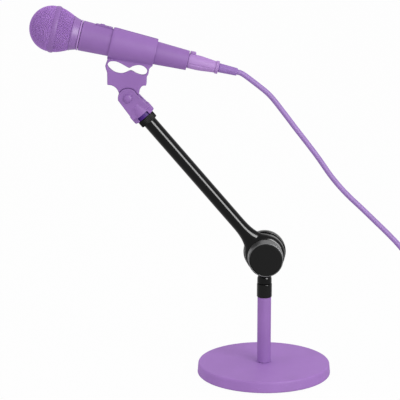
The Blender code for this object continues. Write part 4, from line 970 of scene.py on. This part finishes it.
class BOOM_OT_hub(PieceOperator, bpy.types.Operator):
    """Socket, fixed half of the hinge, and its bolt"""

    bl_idname = "boom.hub"
    bl_label = "Socket and Hub"

    def make(self, finishes):
        low = POLE_TOP + FIT
        outline = tube(SOCKET_BORE, SOCKET_RADIUS, low, SOCKET_TOP)
        skin = turned(outline, WORLD, 96, (0.0003, 0.0008, 0.0007, 0.0003))
        enamel = gloss_black("black_sleeve", srgb(17, 17, 17))
        piece("pole_socket", "sleeve", [skin], enamel, "stand")
        low = SOCKET_TOP + FIT
        spigot, spigot_low = SOCKET_BORE - FIT, POLE_TOP + POLE_THREAD_LENGTH + FIT
        outline = [(0, NECK_TOP), (NECK_RADIUS, NECK_TOP), (SOCKET_RADIUS - FIT, low), (spigot, low)]
        outline += [(spigot, spigot_low), (0, spigot_low)]
        neck = turned(outline, WORLD, 96, (0, 0.0055, 0.0006, 0.0003, 0.0003, 0))
        head_low, head_high, seat = HUB_BACK + BOLT_HEAD_HEIGHT, -0.0064, 0.0075
        outline = [(0, HUB_FRONT), (HUB_RADIUS, HUB_FRONT), (HUB_RADIUS, HUB_BACK), (seat, HUB_BACK)]
        outline += [(seat, head_low), (0, head_low)]
        disc = turned(outline, HINGE_FRONT, 160, (0, 0.0014, 0.0032, 0.0006, 0.0003, 0))
        web_half_sizes, web_height = (0.00632, 0.00355, 0.01145), 0.11955
        web = pillow(web_half_sizes, 7) + np.array((0, -(HUB_FRONT + HUB_BACK) / 2, web_height))
        hub = fused("hinge_hub_enamel", [neck, disc, web], 0.00036, 6)
        dress(hub, gloss_black("black_enamel", finishes.black), "stand", "hinge_hub")
        shank, tip = 0.0040, 0.0237
        grids = [hexagon(0.0070, head_high - BOLT_HEAD_HEIGHT, head_high, HINGE_FRONT)]
        grids.append(turned([(0, head_high), (shank, head_high), (shank, tip), (0, tip)], HINGE_FRONT, 40))
        zinc = plated("bolt_zinc", srgb(172, 172, 176), 0.24)
        piece("hinge_bolt", "head", grids, zinc, "stand", sharp=25)
        coat(rubbery("washer_rubber", srgb(26, 26, 27)), "friction_washer")


def casting_distance(points, reach):
    """Signed distance from a rounded disc and a tube that flares into it, blended where they meet."""
    across, depth = points[..., 0], points[..., 1]
    edge = np.where(depth < 0, 0.0055, 0.0014)
    out = np.hypot(across, reach) - (HOUSING_RADIUS - edge)
    deep = np.abs(depth) - (HOUSING_HALF_DEPTH - edge)
    corner = np.hypot(np.maximum(out, 0), np.maximum(deep, 0))
    disc = corner + np.minimum(np.maximum(out, deep), 0) - edge
    share = np.clip((reach - FLARE_START) / (FLARE_END - FLARE_START), 0, 1)
    spread = (1 - share) ** 3
    wide = ARM_RADIUS + (FLARE_WIDTH - ARM_RADIUS) * spread
    thick = ARM_RADIUS + (HOUSING_HALF_DEPTH - 0.0006 - ARM_RADIUS) * spread
    stalk = (np.hypot(across / wide, depth / thick) - 1) * np.minimum(wide, thick)
    stalk = np.where(reach < FLARE_START - 0.004, stalk + (FLARE_START - 0.004 - reach), stalk)
    blend = 0.0030
    near = np.maximum(blend - np.abs(disc - stalk), 0) / blend
    return np.minimum(disc, stalk) - near**2 * blend / 4


class BOOM_OT_arm(PieceOperator, bpy.types.Operator):
    """Boom arm with the swinging half of the hinge, and the collar at its tip"""

    bl_idname = "boom.arm"
    bl_label = "Boom Arm"

    def make(self, finishes):
        end = ARM_REACH - 0.0021
        disc = -HOUSING_RADIUS * np.cos(np.linspace(0, math.pi / 2, 60))
        flare = np.linspace(0, 0.066, 90)[1:]
        reach = np.concatenate((disc, flare, (0.12, 0.18, end)))[:, None]
        ray = spun(1 + 0 * reach, np.linspace(0, math.tau, 129), 0)
        radius = cast(ray, 0.03, lambda points: casting_distance(points, reach) < 0)
        radius[0] = 0
        grid = ray * radius[..., None]
        grid[..., 2] = reach
        grid = np.concatenate((grid, grid[-1:] * (0, 0, 1)))
        enamel = gloss_black("arm_enamel", finishes.black)
        piece("boom_arm", "enamel", [put(grid, ARM)], enamel, "arm")
        low, lip, bore, seat = COLLAR_LOW, ARM_REACH - 0.0018, 0.0061, 0.0079
        outline = [(bore, ARM_REACH), (COLLAR_RADIUS, ARM_REACH), (COLLAR_RADIUS, low), (seat, low)]
        outline += [(seat, lip), (bore, lip)]
        skin = turned(outline, ARM, 352, 0.0005, (44, 0.00045, low + 0.0007, ARM_REACH - 0.0009))
        satin = satin_black("collar_black", srgb(20, 20, 20))
        piece("tip_collar", "ribbed", [skin], satin, "arm")
        coat(plated("stud_zinc", srgb(170, 170, 174)), "tip_stud", "spring_washer")


class BOOM_OT_knob(PieceOperator, bpy.types.Operator):
    """Clutch knob and its plain cap"""

    bl_idname = "boom.knob"
    bl_label = "Clutch Knob"

    def make(self, finishes):
        recess, seat, step = KNOB_FRONT - 0.0015, KNOB_CAP_RADIUS + FIT, KNOB_BACK + KNOB_NECK_LENGTH
        bore, bore_end = 0.0069, 0.0240
        outline = [(0, recess), (seat, recess), (seat, KNOB_FRONT), (KNOB_FACE_RADIUS, KNOB_FRONT)]
        outline += [(KNOB_RADIUS, step), (KNOB_NECK_RADIUS, step), (KNOB_NECK_RADIUS, KNOB_BACK)]
        outline += [(bore, KNOB_BACK), (bore, bore_end), (0, bore_end)]
        edges = (0, 0.0002, 0.0002, 0.0008, 0.0006, 0.0003, 0.0005, 0.0003, 0.0003, 0)
        skin = turned(outline, HINGE_FRONT, 192, edges)
        piece("clutch_knob", "rim", [skin], satin_rim("satin_rim"), "knob")
        low = recess + FIT
        outline = tube(0, KNOB_CAP_RADIUS, low, KNOB_FRONT)
        skin = turned(outline, HINGE_FRONT, 160, (0, 0.0005, 0.0002, 0))
        satin = satin_black("sanded_black", srgb(19, 19, 19), 2200)
        piece("knob_cap", "plain", [skin], satin, "knob")
        coat(plated("insert_brass", srgb(196, 164, 92)), "knob_insert")


def lobe_reach(angle, out):
    """Reach of the foot's side beside the notch, from its own middle: a circle cut by a flat."""

    def inside(points):
        across = points[..., 0] + out
        round_foot = np.hypot(across, points[..., 2]) < CLIP_FOOT_RADIUS
        return round_foot & (across * np.sign(out) > NOTCH_HALF_WIDTH)

    return cast(fan(angle), 0.02, inside)


def cheek_reach(angle):
    """Reach of a cheek by angle: the knuckle's circle on top, and straight sides down to the foot."""
    high = KNUCKLE_RADIUS * math.sin(CLIP_CHEEK_ANGLE)
    wide = KNUCKLE_RADIUS * math.cos(CLIP_CHEEK_ANGLE)

    def inside(points):
        across, rise = np.abs(points[..., 0]), points[..., 2]
        side = np.interp(rise, (CLIP_FOOT_TOP, high), (CLIP_SHOULDER, wide))
        knuckle = np.hypot(across, rise) < KNUCKLE_RADIUS
        within = np.where(rise > high, knuckle, across < side) | (points[..., 0] > 0) & knuckle
        return within & (rise > CLIP_FOOT_TOP - 0.0005)

    return cast(fan(angle), 0.03, inside)


class BOOM_OT_clip_base(PieceOperator, bpy.types.Operator):
    """Screwed foot of the clip, its pivot bolt and nut"""

    bl_idname = "boom.clip_base"
    bl_label = "Clip Foot"

    def make(self, finishes):
        low = -PIVOT_RISE + FIT
        slot_low = -KNUCKLE_RADIUS - 0.0010
        notch = low + NOTCH_HEIGHT
        outline = [(0, slot_low), (0.0106, slot_low), (0.0118, CLIP_FOOT_TOP), (0.0120, notch), (0, notch)]
        shells = [turned(outline, CLIP_FOOT, 128, (0, 0.0002, 0.003, 0.0003, 0))]
        half = (CLEVIS_HALF_WIDTH - CLEVIS_HALF_SLOT) / 2
        lobe_half, ear_half, ear_reach = 0.0027, 0.0055, 0.0099
        ear = pillow((0.0132, 0.0035, ear_half), 8) * (0.25, 1, 1) + (low + ear_half) * Z
        for side in (-1, 1):
            where = (PIVOT + side * (CLEVIS_HALF_SLOT + half) * Y, *CLIP_FOOT[1:])
            shells.append(plate(cheek_reach, half, 0.0004, where))
            out = side * (CLIP_FOOT_RADIUS + NOTCH_HALF_WIDTH) / 2
            where = (PIVOT + out * ARM_ACROSS + (low + lobe_half) * ARM_AXIS, *CLIP_FRONT[1:])
            shells.append(plate(lambda angle: lobe_reach(angle, out), lobe_half, 0.0003, where))
        for side in (-1, 1):
            shells.append(put(ear + side * ear_reach * X, CLIP_FOOT))
        clip = fused("clip_foot_moulded", shells, 0.00034, 5)
        dress(clip, moulded("purple_clip_plastic", finishes.shell), "arm", "clip_base")
        # The insert that shows in the foot's notch is painted dark violet, darker than the purple parts, as
        # painted shade inside the notch
        coat(satin_paint("insert_notch_shade", srgb(78, 38, 128)), "clip_insert")
        front, head, shank, end = CLEVIS_HALF_WIDTH + FIT, 0.0046, 0.0025, -0.0139
        outline = [(0, front + 0.0026), (0.0028, front + 0.0023), (head, front + 0.0012), (head, front)]
        outline += [(shank, front), (shank, end), (0, end)]
        skin = turned(outline, CLIP_FRONT, 64, (0, 0.0020, 0.0006, 0.0003, 0.0002, 0.0004, 0))
        painted = satin_paint("painted_bolt", finishes.shell, 0.34)
        piece("pivot_bolt", "head", [skin], painted, "arm")
        grid = hexagon(0.0048, -front - 0.0036, -front, CLIP_FRONT)
        zinc = plated("nut_zinc", srgb(170, 170, 174))
        piece("pivot_nut", "hex", [grid], zinc, "arm", sharp=25)


def wall_at(along):
    """The sleeve's thickness, which grows towards the back."""
    return np.interp(along, (CRADLE_BACK, HANDLE_WAIST), (CRADLE_BACK_WALL, CRADLE_WALL))


def sleeve_grid():
    """The sleeve's wall, a rounded loop of (r, z), turned from one lip of the mouth to the other."""
    along = np.array((CRADLE_FRONT, HANDLE_WAIST, CRADLE_BACK))
    inner = handle_radius(along) + FIT
    wall = wall_at(along) * (0.55, 1, 1)
    outline = [*zip(inner + wall, along), *zip(inner[::-1], along[::-1])]
    line = rounded(outline, (0.0005, 0.002, 0.0008, 0.0006, 0.004, 0.0002), True)
    angle = np.linspace(CRADLE_MOUTH / 2, math.tau - CRADLE_MOUTH / 2, 161)[:, None]
    grid = spun(line[:, 0], angle, line[:, 1])
    middle = grid.mean(axis=1, keepdims=True)
    return put(np.concatenate((middle[:1] + 0 * grid[:1], grid, middle[-1:] + 0 * grid[-1:])), MIC)


def ellipse_arc(centre, half_sizes, start, end):
    """A quarter of an ellipse, between two angles in degrees."""
    angle = np.radians(np.linspace(start, end, 16))
    return np.array(centre) + fan(angle)[:, ::2] * half_sizes


def polar_radius(outline, middle, angle):
    """Radius by angle of an outline that can all be seen from its middle."""
    off = outline - middle
    turn = np.arctan2(off[:, 1], off[:, 0])
    order = np.argsort(turn)
    return np.interp(angle, turn[order], np.hypot(off[:, 0], off[:, 1])[order], period=math.tau)


def yoke_grid(edge):
    """A ring whose inner rim is the figure eight, drafted down towards the back, and whose outer rim is
    the yoke's outline."""
    right = ellipse_arc((0.0178, STEM_RISE), (0.0055, 0.0104), 180, 90)
    left = ellipse_arc((-0.0214, STEM_RISE), (0.0116, 0.0111), 90, 0)
    outer = filled_in(np.vstack((right, RIGHT_STRIP, SADDLE, LEFT_STRIP, left)))
    middle = np.array(YOKE_MIDDLE)
    angle = np.linspace(-math.pi, math.pi, 541)
    rim = polar_radius(outer, middle, angle)
    front, back = (polar_radius(closed_curve(eye), middle, angle) for eye in (EYE_FRONT, EYE))
    loop = ring_loop(YOKE_HALF_DEPTH, edge)
    depth = loop[:, 2]
    hole = front[:, None] + (back - front)[:, None] * (depth / YOKE_HALF_DEPTH + 1) / 2
    rays = fan(angle)[:, None] + 0 * depth[None, :, None]
    base = np.stack((middle[0] + 0 * depth, depth, middle[1] + 0 * depth), axis=-1)
    stop = cast(rays, 0.06, lambda points: in_the_clear(points + base))
    outside = np.minimum(rim[:, None], stop)
    radius = hole + (outside - hole) * loop[:, 0] + loop[:, 1]
    return put(base + rays * radius[..., None], CLIP)


def closed_curve(points):
    """A closed smooth curve through the points of an opening."""
    steps = 16
    points = np.array(points)
    return smooth_curve(np.vstack((points[-1:], points, points[:2])), steps)[steps : -2 * steps]


def filled_in(outline):
    """The outline with many points on each straight side."""
    closed = np.vstack((outline, outline[:1]))
    share = np.linspace(0, 1, 12, endpoint=False)[None, :, None]
    return (closed[:-1, None] + share * (closed[1:, None] - closed[:-1, None])).reshape(-1, 2)


def in_the_clear(points):
    """Inside the room between the middle of the sleeve's wall and the clevis."""
    off = points - (NECK - PIVOT) * (1, 0, 1)
    along = off @ MIC_FORWARD
    up = off @ MIC_UP
    wall = handle_radius(along) + FIT + wall_at(along) / 2
    below_axis = (np.hypot(up, points[..., 1]) > wall) & (up < 0)
    return below_axis & (np.hypot(points[..., 0], points[..., 2]) > KNUCKLE_RADIUS + FIT)


def tongue_grid():
    """A disc round the pivot, and a block above it that reaches into the yoke."""
    half_width, height, disc = 0.0085, 0.0145, KNUCKLE_RADIUS - 0.0006

    def reach(angle):
        side = half_width / np.maximum(np.abs(np.cos(angle)), 0.01)
        block = np.minimum(side, height / np.maximum(np.sin(angle), 0.01))
        return np.where(np.sin(angle) > 0, np.maximum(block, disc), disc)

    return plate(reach, TONGUE_HALF_WIDTH, 0.0005, CLIP)


class BOOM_OT_cradle(PieceOperator, bpy.types.Operator):
    """Shock-absorbing cradle: split sleeve, and yoke with its figure-eight opening"""

    bl_idname = "boom.cradle"
    bl_label = "Cradle"

    def make(self, finishes):
        soft_edge = bpy.context.scene.boom_sizes.soft_edge
        shells = [sleeve_grid(), yoke_grid(soft_edge), tongue_grid()]
        cradle = fused("clip_cradle_moulded", shells, 0.00047, 4)
        plastic = moulded("purple_cradle_plastic", tone(finishes.shell, 1.05), 0.44)
        dress(cradle, plastic, "microphone", "clip_cradle")


class BOOM_OT_handle(PieceOperator, bpy.types.Operator):
    """Handle with the pocket of its switch, and the neck ring"""

    bl_idname = "boom.handle"
    bl_label = "Handle"

    def make(self, finishes):
        top, bottom, half_pocket = -0.0006, HANDLE_TAIL + 0.012, 0.0098
        outline = [(SPIGOT_RADIUS, top), (HANDLE_NECK_RADIUS, top), (HANDLE_WAIST_RADIUS, HANDLE_WAIST)]
        outline += [(HANDLE_TAIL_RADIUS, HANDLE_TAIL)]
        pocket = (SWITCH_CENTRE - half_pocket, SWITCH_CENTRE + half_pocket, 0.278, 0.0020)
        grids = [pocketed(outline, (0.0002, 0.0007, 0.012, 0.0008), MIC, [pocket])]
        spigot_top, neck, tail = 0.0090, HANDLE_NECK_RADIUS - 0.0007, HANDLE_TAIL_RADIUS - 0.0008
        outline = [(0, spigot_top), (SPIGOT_RADIUS, spigot_top), (SPIGOT_RADIUS, top), (neck, top)]
        grids.append(turned(outline, MIC, 128, 0.0002))
        outline = [(tail, HANDLE_TAIL), (TAIL_BORE, HANDLE_TAIL), (TAIL_BORE, bottom)]
        grids.append(turned(outline + [(0, bottom)], MIC, 128, 0.0002))
        lacquer = satin_paint("purple_lacquer", finishes.shell, 0.46)
        piece("mic_handle", "lacquer", grids, lacquer, "microphone")
        outer, wide = 0.0170, NECK_RING_WIDTH
        skin = turned([(outer, wide), (outer, 0), (SPIGOT_BORE, 0), (SPIGOT_BORE, wide)], MIC, 160, 0.0006)
        bright = turned_metal("lilac_ring_metal", tone(finishes.lilac, 1.06), 0.46)
        piece("neck_ring", "lilac", [skin], bright, "microphone")
        coat(satin_black("insulator", srgb(28, 28, 29)), "socket_insert", "contact_insert", "switch_body")
        coat(plated("pin_brass", srgb(205, 175, 105), 0.2), "socket_pin_1", "socket_pin_2", "socket_pin_3")


class BOOM_OT_switch(PieceOperator, bpy.types.Operator):
    """Slotted switch plate and the sliding grip"""

    bl_idname = "boom.switch"
    bl_label = "Switch"

    def make(self, finishes):
        half_depth, half_height = 0.0011, 0.0015
        top = float(handle_radius(SWITCH_CENTRE)) + 0.0009
        loop = ring_loop(half_depth, 0.0003)
        turn = np.linspace(0, math.tau, 193)[:, None]
        outer = super_radius(turn, 0.0095, 0.0042, 9)
        inner = super_radius(turn, 0.0049, 0.0018, 9)
        radius = inner + (outer - inner) * loop[:, 0] + loop[:, 1]
        height = top - half_depth + loop[:, 2] + 0 * radius
        grid = np.stack((height, radius * np.sin(turn), SWITCH_CENTRE + radius * np.cos(turn)), axis=-1)
        lacquer = satin_paint("switch_lacquer", tone(finishes.shell, 0.96), 0.36)
        piece("switch_plate", "slotted", [put(grid, MIC)], lacquer, "microphone")
        grip = ribbed_key((half_height, 0.0015, 0.0026), 7, 0.0008, 0.00018, 0.00075)
        centre = np.array((top - 2 * half_depth + FIT + half_height, 0, SWITCH_CENTRE + 0.0020))
        plastic = moulded("switch_grip", tone(finishes.shell, 1.1))
        piece("switch_slider", "grip", [put(grip + centre, MIC)], plastic, "switch")


def weave_lift(phase, radius):
    """Height of a wire over the mesh's middle: it passes over one crossing and under the next."""
    return WEAVE_SHARE * radius * np.cos(math.pi * phase)


def front_wires(sizes):
    """A square weave on the plane, laid on the half ball by the equal-area map: the distance from the
    pole is twice the radius times the sine of half the angle."""
    pitch, radius = sizes.wire_pitch, sizes.wire_radius
    ball = BALL_RADIUS - WIRE_ROOM * radius
    reach = 2 * ball * math.sin(math.pi / 4)
    count = int(reach / pitch)
    section = circle(radius, 5)
    grids = []
    for number in range(-count, count + 1):
        half = math.sqrt(reach**2 - (number * pitch) ** 2)
        along = np.linspace(-half, half, max(12, int(half * 2 / pitch * 4)))
        across = number * pitch + 0 * along
        for sign, x, y in ((1, across, along), (-1, along, across)):
            lift = sign * weave_lift(along / pitch + number, radius)
            tilt = 2 * np.arcsin(np.clip(np.hypot(x, y) / (2 * ball), 0, 1))
            ray = spun(np.sin(tilt), np.arctan2(y, x), np.cos(tilt))
            path = ray * (ball + lift)[:, None] + (0, 0, BALL_CENTRE)
            grids.append(put(swept(path, section, ray), MIC))
    return grids


def basket_radius(along):
    """The rear basket's radius, which swells from the collar to the ball's."""
    front = BAND_CENTRE - BAND_WIDTH / 2
    wide = math.sqrt(BALL_RADIUS**2 - (front - BALL_CENTRE) ** 2)
    share = (front - along) / (front - COLLAR_END)
    return wide + (COLLAR_WIDE - wide) * share**BASKET_BULGE


def rear_wires(sizes):
    """Two families of helices on the rear basket, angle = start + twist and angle = start - twist."""
    pitch, radius = sizes.wire_pitch, sizes.wire_radius
    low, high = COLLAR_END + FIT, BAND_CENTRE - BAND_WIDTH / 2 - FIT
    count = int(math.tau * BASKET_MEAN_RADIUS / (pitch * 1.414))
    along = np.linspace(high, low, 96)
    skin = basket_radius(along) - WIRE_ROOM * radius
    twist = (high - along) / BASKET_MEAN_RADIUS
    phase = twist * 2 * count / math.tau
    section = circle(radius, 5)
    grids = []
    for start in np.arange(count) * math.tau / count:
        for sign in (-1, 1):
            ray = spun(1, start + sign * twist, 0)
            path = ray * (skin + sign * weave_lift(phase, radius))[:, None] + along[:, None] * Z
            grids.append(put(swept(path, section, ray), MIC))
    return grids


def foam_grid():
    """A shell under the baskets: a quarter circle and the basket's curve, turned, with a swell of sines."""
    tilt = np.linspace(0, math.pi / 2, 60)
    ball = BALL_RADIUS - 0.0016
    along = np.linspace(BALL_CENTRE - 0.001, COLLAR_END + 0.0006, 24)
    outer = np.vstack((
        np.stack((ball * np.sin(tilt), BALL_CENTRE + ball * np.cos(tilt)), axis=-1),
        np.stack((np.minimum(basket_radius(np.minimum(along, 0.0262)) - 0.0018, ball), along), axis=-1),
    ))
    inner = outer[::-1] * (0.95, 1) - (0, 0.0006)
    inner[0, 1] = outer[-1, 1]
    line = np.vstack((outer, inner))
    line[0, 0] = line[-1, 0] = 0
    angle = np.linspace(0, math.tau, 129)
    swell = 0.00012 * np.sin(61 * angle)[None] * np.sin(np.arange(len(line)) * 1.7)[:, None]
    swell[:, -1] = swell[:, 0]
    return put(spun(np.maximum(line[:, :1] - np.abs(swell), 0), angle, line[:, 1:]), MIC)


class BOOM_OT_grille(PieceOperator, bpy.types.Operator):
    """Woven ball grille: front and rear baskets, band, collar and foam"""

    bl_idname = "boom.grille"
    bl_label = "Ball Grille"

    def make(self, finishes):
        sizes = bpy.context.scene.boom_sizes
        wire = satin_paint("purple_wire", finishes.mesh, 0.42)
        piece("grille_front", "woven", front_wires(sizes), wire, "microphone")
        piece("grille_rear", "woven", rear_wires(sizes), wire, "microphone")
        skirt, bore = 0.0008, 0.0243
        low, high = BAND_CENTRE - BAND_WIDTH / 2, BAND_CENTRE + BAND_WIDTH / 2
        outline = [(bore, high + skirt), (0.0252, high + skirt), (BAND_RADIUS, high - skirt)]
        outline += [(BAND_RADIUS, low + skirt), (0.0251, low - skirt), (bore, low - skirt)]
        skin = turned(outline, MIC, 192, (0.0002, 0.0004, 0.0012, 0.0012, 0.0004, 0.0002))
        paint = satin_paint("purple_band_paint", finishes.shell, 0.42)
        piece("grille_band", "rolled", [skin], paint, "microphone")
        low = NECK_RING_WIDTH + FIT
        outline = [(SPIGOT_BORE, COLLAR_END), (COLLAR_WIDE, COLLAR_END), (COLLAR_WIDE, COLLAR_END - 0.0012)]
        outline += [(0.0186, COLLAR_END - 0.0014), (0.0166, low), (SPIGOT_BORE, low)]
        glossy = satin_paint("purple_collar_paint", finishes.shell, 0.40, 0.20)
        skin = turned(outline, MIC, 160, 0.0005)
        piece("grille_collar", "painted", [skin], glossy, "microphone")
        foam = open_foam("lining_foam", finishes.mesh)
        piece("foam_liner", "pores", [foam_grid()], foam, "microphone")
        coat(plated("capsule_metal", srgb(120, 120, 124), 0.35), "mic_capsule")
        coat(rubbery("mount_rubber", srgb(34, 34, 36)), "capsule_mount")


class BOOM_OT_connector(PieceOperator, bpy.types.Operator):
    """Connector shell, latch, ring and boot"""

    bl_idname = "boom.connector"
    bl_label = "Connector"

    def make(self, finishes):
        top, tip, half_pocket = HANDLE_TAIL - FIT, (0.0075, HANDLE_TAIL + 0.008), 0.0036
        outline = [tip, (0.0076, top), (SHELL_RADIUS, top - 0.0001), (SHELL_RADIUS, SHELL_STRAIGHT_END)]
        outline += [(SHELL_END_RADIUS, SHELL_END)]
        pocket = (LATCH_CENTRE - half_pocket, LATCH_CENTRE + half_pocket, 0.31, 0.0030)
        low, high = SHELL_END + 0.0012, top - 0.0025
        grooves = [(sign * math.radians(106), 0.13, 0.00060, low, high) for sign in (-1, 1)]
        grids = [pocketed(outline, (0, 0.0002, 0.0006, 0.004, 0), MIC, [pocket], grooves, 96)]
        grids.append(turned([(SHELL_END_RADIUS, SHELL_END), (0.0035, SHELL_END), (0, SHELL_END)], MIC))
        grids.append(turned([(0, tip[1]), tip], MIC))
        metal = turned_metal("lilac_shell_metal", finishes.lilac)
        piece("connector_shell", "turned", grids, metal, "microphone")
        key = ribbed_key((0.0031, 0.0023, 0.0033), 9, 0.0020, 0.00010, 0.0011) + (0.0081, 0, LATCH_CENTRE)
        bright = turned_metal("lilac_latch", tone(finishes.lilac, 0.92), 0.3)
        piece("connector_latch", "key", [put(key, MIC)], bright, "latch")
        high, low, bore, outer = SHELL_END - FIT / 3, SHELL_END - FIT - 0.0034, 0.0035, 0.0072
        outline = tube(bore, outer, low, high)
        knurl = (36, 0.00022, low + 0.0008, high - 0.0008)
        skin = turned(outline, MIC, 288, (0.0002, 0.0006, 0.0008, 0.0002), knurl)
        metal = turned_metal("lilac_ring_nut", tone(finishes.lilac, 0.95))
        piece("connector_ring", "knurled", [skin], metal, "microphone")
        low = BOOT_TOP - BOOT_LENGTH
        outline = [(0, BOOT_TOP), (0.0051, BOOT_TOP), (0.0042, low), (0.0031, low), (0, low + 0.001)]
        skin = turned(outline, MIC, 72, (0, 0.0005, 0.0008, 0.0003, 0))
        rubber = rubbery("purple_boot", finishes.rubber)
        piece("cable_boot", "sleeve", [skin], rubber, "microphone")


class BOOM_OT_cable(PieceOperator, bpy.types.Operator):
    """The two free stretches of the cable"""

    bl_idname = "boom.cable"
    bl_label = "Cable"

    def make(self, finishes):
        start = NECK + (BOOT_TOP - BOOT_LENGTH - FIT) * MIC_FORWARD
        lead = start - np.array((-0.0064, 0, 0.0024))
        route = np.array([(x, -ARM_OFFSET, z) for x, z in CABLE_ROUTE])
        lead_in = coil_points(np.zeros(1))[0] - COIL_LEAD * X
        landing = lead_in - np.array((2 * COIL_LEAD, 0, -COIL_LEAD / 3))
        fine = smooth_curve(np.vstack((start, lead, route, landing, lead_in)), 24)
        split = int(np.argmin(np.linalg.norm(fine - route[CABLE_SPLIT], axis=1)))
        skin = jacket("purple_jacket", finishes.rubber)
        section = circle(CABLE_RADIUS, 24)
        upper_path = evenly(fine[: split + 1], 0.003)
        lower_path = evenly(fine[split:], 0.003)
        hidden = start + 0.004 * MIC_FORWARD
        grid = swept(np.vstack((hidden, upper_path)), section, Y)
        upper = piece("cable_upper", "jacket", [grid], skin, None)
        grid = swept(lower_path, section, Y)
        lower = piece("cable_lower", "jacket", [grid], skin, None)
        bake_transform(upper)
        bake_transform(lower)


def plug_pieces(start, finishes):
    """A jack plug along -Y: ribbed boot, knurled shell and pin."""
    where = (start, X, Z, -Y)
    boot_length = 0.0140
    rib = ((0, 0), (-0.0003, 0.0003), (-0.0003, 0.0010), (0, 0.0013))
    outline = [(0, 0), (0.0038, 0)]
    for rise in (0.0030, 0.0058, 0.0086):
        at = 0.0039 + 0.0007 * rise / boot_length
        outline += [(at + out, rise + up) for out, up in rib]
    skin = turned(outline + [(0.0046, boot_length), (0, boot_length)], where, 64)
    rubber = rubbery("plug_rubber", finishes.rubber)
    boot = piece("plug_boot", "ribbed", [skin], rubber, "stand")
    low, high, wide, nose = 0.0143, 0.0363, 0.0062, 0.0054
    outline = [(0, low), (wide, low), (wide, high - 0.004), (nose, high - 0.0036)]
    outline += [(nose, high - 0.0012), (0.0050, high), (0, high)]
    skin = turned(outline, where, 320, 0.0005, (40, 0.0003, low + 0.003, low + 0.013))
    metal = turned_metal("plug_lilac", finishes.lilac)
    shell = piece("plug_shell", "knurled", [skin], metal, "stand")
    low, sleeve = high + FIT, 0.00317
    tip = low + 0.0285
    outline = [(0, tip), (0.0013, tip), (0.0029, tip - 0.0032), (0.0023, tip - 0.0051)]
    outline += [(sleeve, tip - 0.0076), (sleeve, low), (0, low)]
    skin = turned(outline, where, 48, 0.0004)
    metal = jack_pin("pin_plate", srgb(190, 190, 194))
    pin = piece("plug_pin", "plated", [skin], metal, "stand")
    return [boot, shell, pin]


def tie_piece():
    """A strap carried round the coil's section, with its free end laid along the top."""
    wall, room = 0.00045, CABLE_RADIUS + 0.0005
    low, high = COIL_INNER - room, COIL_OUTER + room
    bottom, top = 0.0010, COIL_FLOOR + (COIL_LAYERS - 1) * COIL_LAYER + room
    corners = [(low - wall, bottom - wall), (high + wall, bottom - wall)]
    corners += [(high + wall, top + wall), (low - wall, top + wall)]
    loop = rounded(corners, 0.004, True, 9)
    out = spun(1, TIE_ANGLE, 0)
    across = np.cross(Z, out)
    half = 0.005
    section = rounded([(-half, -wall), (half, -wall), (half, wall), (-half, wall)], 0.0004, True)
    centre = np.array((COIL_X, COIL_Y, 0))
    path = centre + loop[:, :1] * out + loop[:, 1:] * Z
    band = swept(np.vstack((path, path[1:2])), section, across)[1:-1]
    rise = top + 3.2 * wall
    tail = np.array(((high - 0.004, rise), ((low + high) / 2, top + 3.4 * wall), (low + 0.003, rise)))
    tail_path = evenly(centre + tail[:, :1] * out + tail[:, 1:] * Z, 0.001)
    strap = woven_strap("black_strap", srgb(38, 38, 40))
    grids = [band, swept(tail_path, section, across)]
    return piece("cable_tie", "strap", grids, strap, "stand")


class BOOM_OT_coil(PieceOperator, bpy.types.Operator):
    """Coil of the spare cable, its tie and the jack plug"""

    bl_idname = "boom.coil"
    bl_label = "Coil and Plug"

    def make(self, finishes):
        turns = coil_points(np.linspace(0, COIL_TURNS, int(COIL_TURNS * 48)))
        end = turns[-1]
        straight = end - np.linspace(0, TAIL_STRAIGHT, 8)[1:, None] * Y
        share = np.linspace(0, 1, 9)[1:, None]
        ramp = straight[-1] - TAIL_RAMP * share * Y + (PLUG_HEIGHT - end[2]) * ease(share) * Z
        last = ramp[-1] - 2 * CABLE_RADIUS * Y
        path = np.vstack((turns[0] - COIL_LEAD * X, turns, straight, ramp, last))
        skin = jacket("coil_jacket", finishes.rubber)
        grid = swept(path, circle(CABLE_RADIUS, 16), Z)
        coil = piece("cable_coil", "jacket", [grid], skin, "stand")
        pieces = plug_pieces(last - FIT * Y, finishes) + [tie_piece()]


OPERATORS = (
    BOOM_OT_stage,
    BOOM_OT_cable,
    BOOM_OT_coil,
    BOOM_OT_base,
    BOOM_OT_hub,
    BOOM_OT_arm,
    BOOM_OT_knob,
    BOOM_OT_clip_base,
    BOOM_OT_cradle,
    BOOM_OT_handle,
    BOOM_OT_switch,
    BOOM_OT_grille,
    BOOM_OT_connector,
)


class BOOM_PT_pieces(bpy.types.Panel):
    """The pieces, in the order in which they are made"""

    bl_label = "Desk Boom Microphone"
    bl_idname = "BOOM_PT_pieces"
    bl_space_type = "VIEW_3D"
    bl_region_type = "UI"
    bl_category = "Microphone"

    def draw(self, context):
        for group in GROUPS:
            settings = getattr(context.scene, group)
            box = self.layout.box()
            for name in settings.__annotations__:
                box.prop(settings, name)
        for operator in OPERATORS:
            self.layout.operator(operator.bl_idname)


GROUPS = {"boom_finishes": BoomFinishes, "boom_sizes": BoomSizes, "boom_stage": BoomStage}
CLASSES = (*GROUPS.values(), *OPERATORS, BOOM_PT_pieces)


def register():
    for cls in CLASSES:
        bpy.utils.register_class(cls)
    for name, group in GROUPS.items():
        setattr(bpy.types.Scene, name, PointerProperty(type=group))


def unregister():
    for name in GROUPS:
        delattr(bpy.types.Scene, name)
    for cls in reversed(CLASSES):
        bpy.utils.unregister_class(cls)


def main():
    register()
    for operator in OPERATORS:
        getattr(bpy.ops.boom, operator.bl_idname.split(".")[1])()


if __name__ == "__main__":
    main()
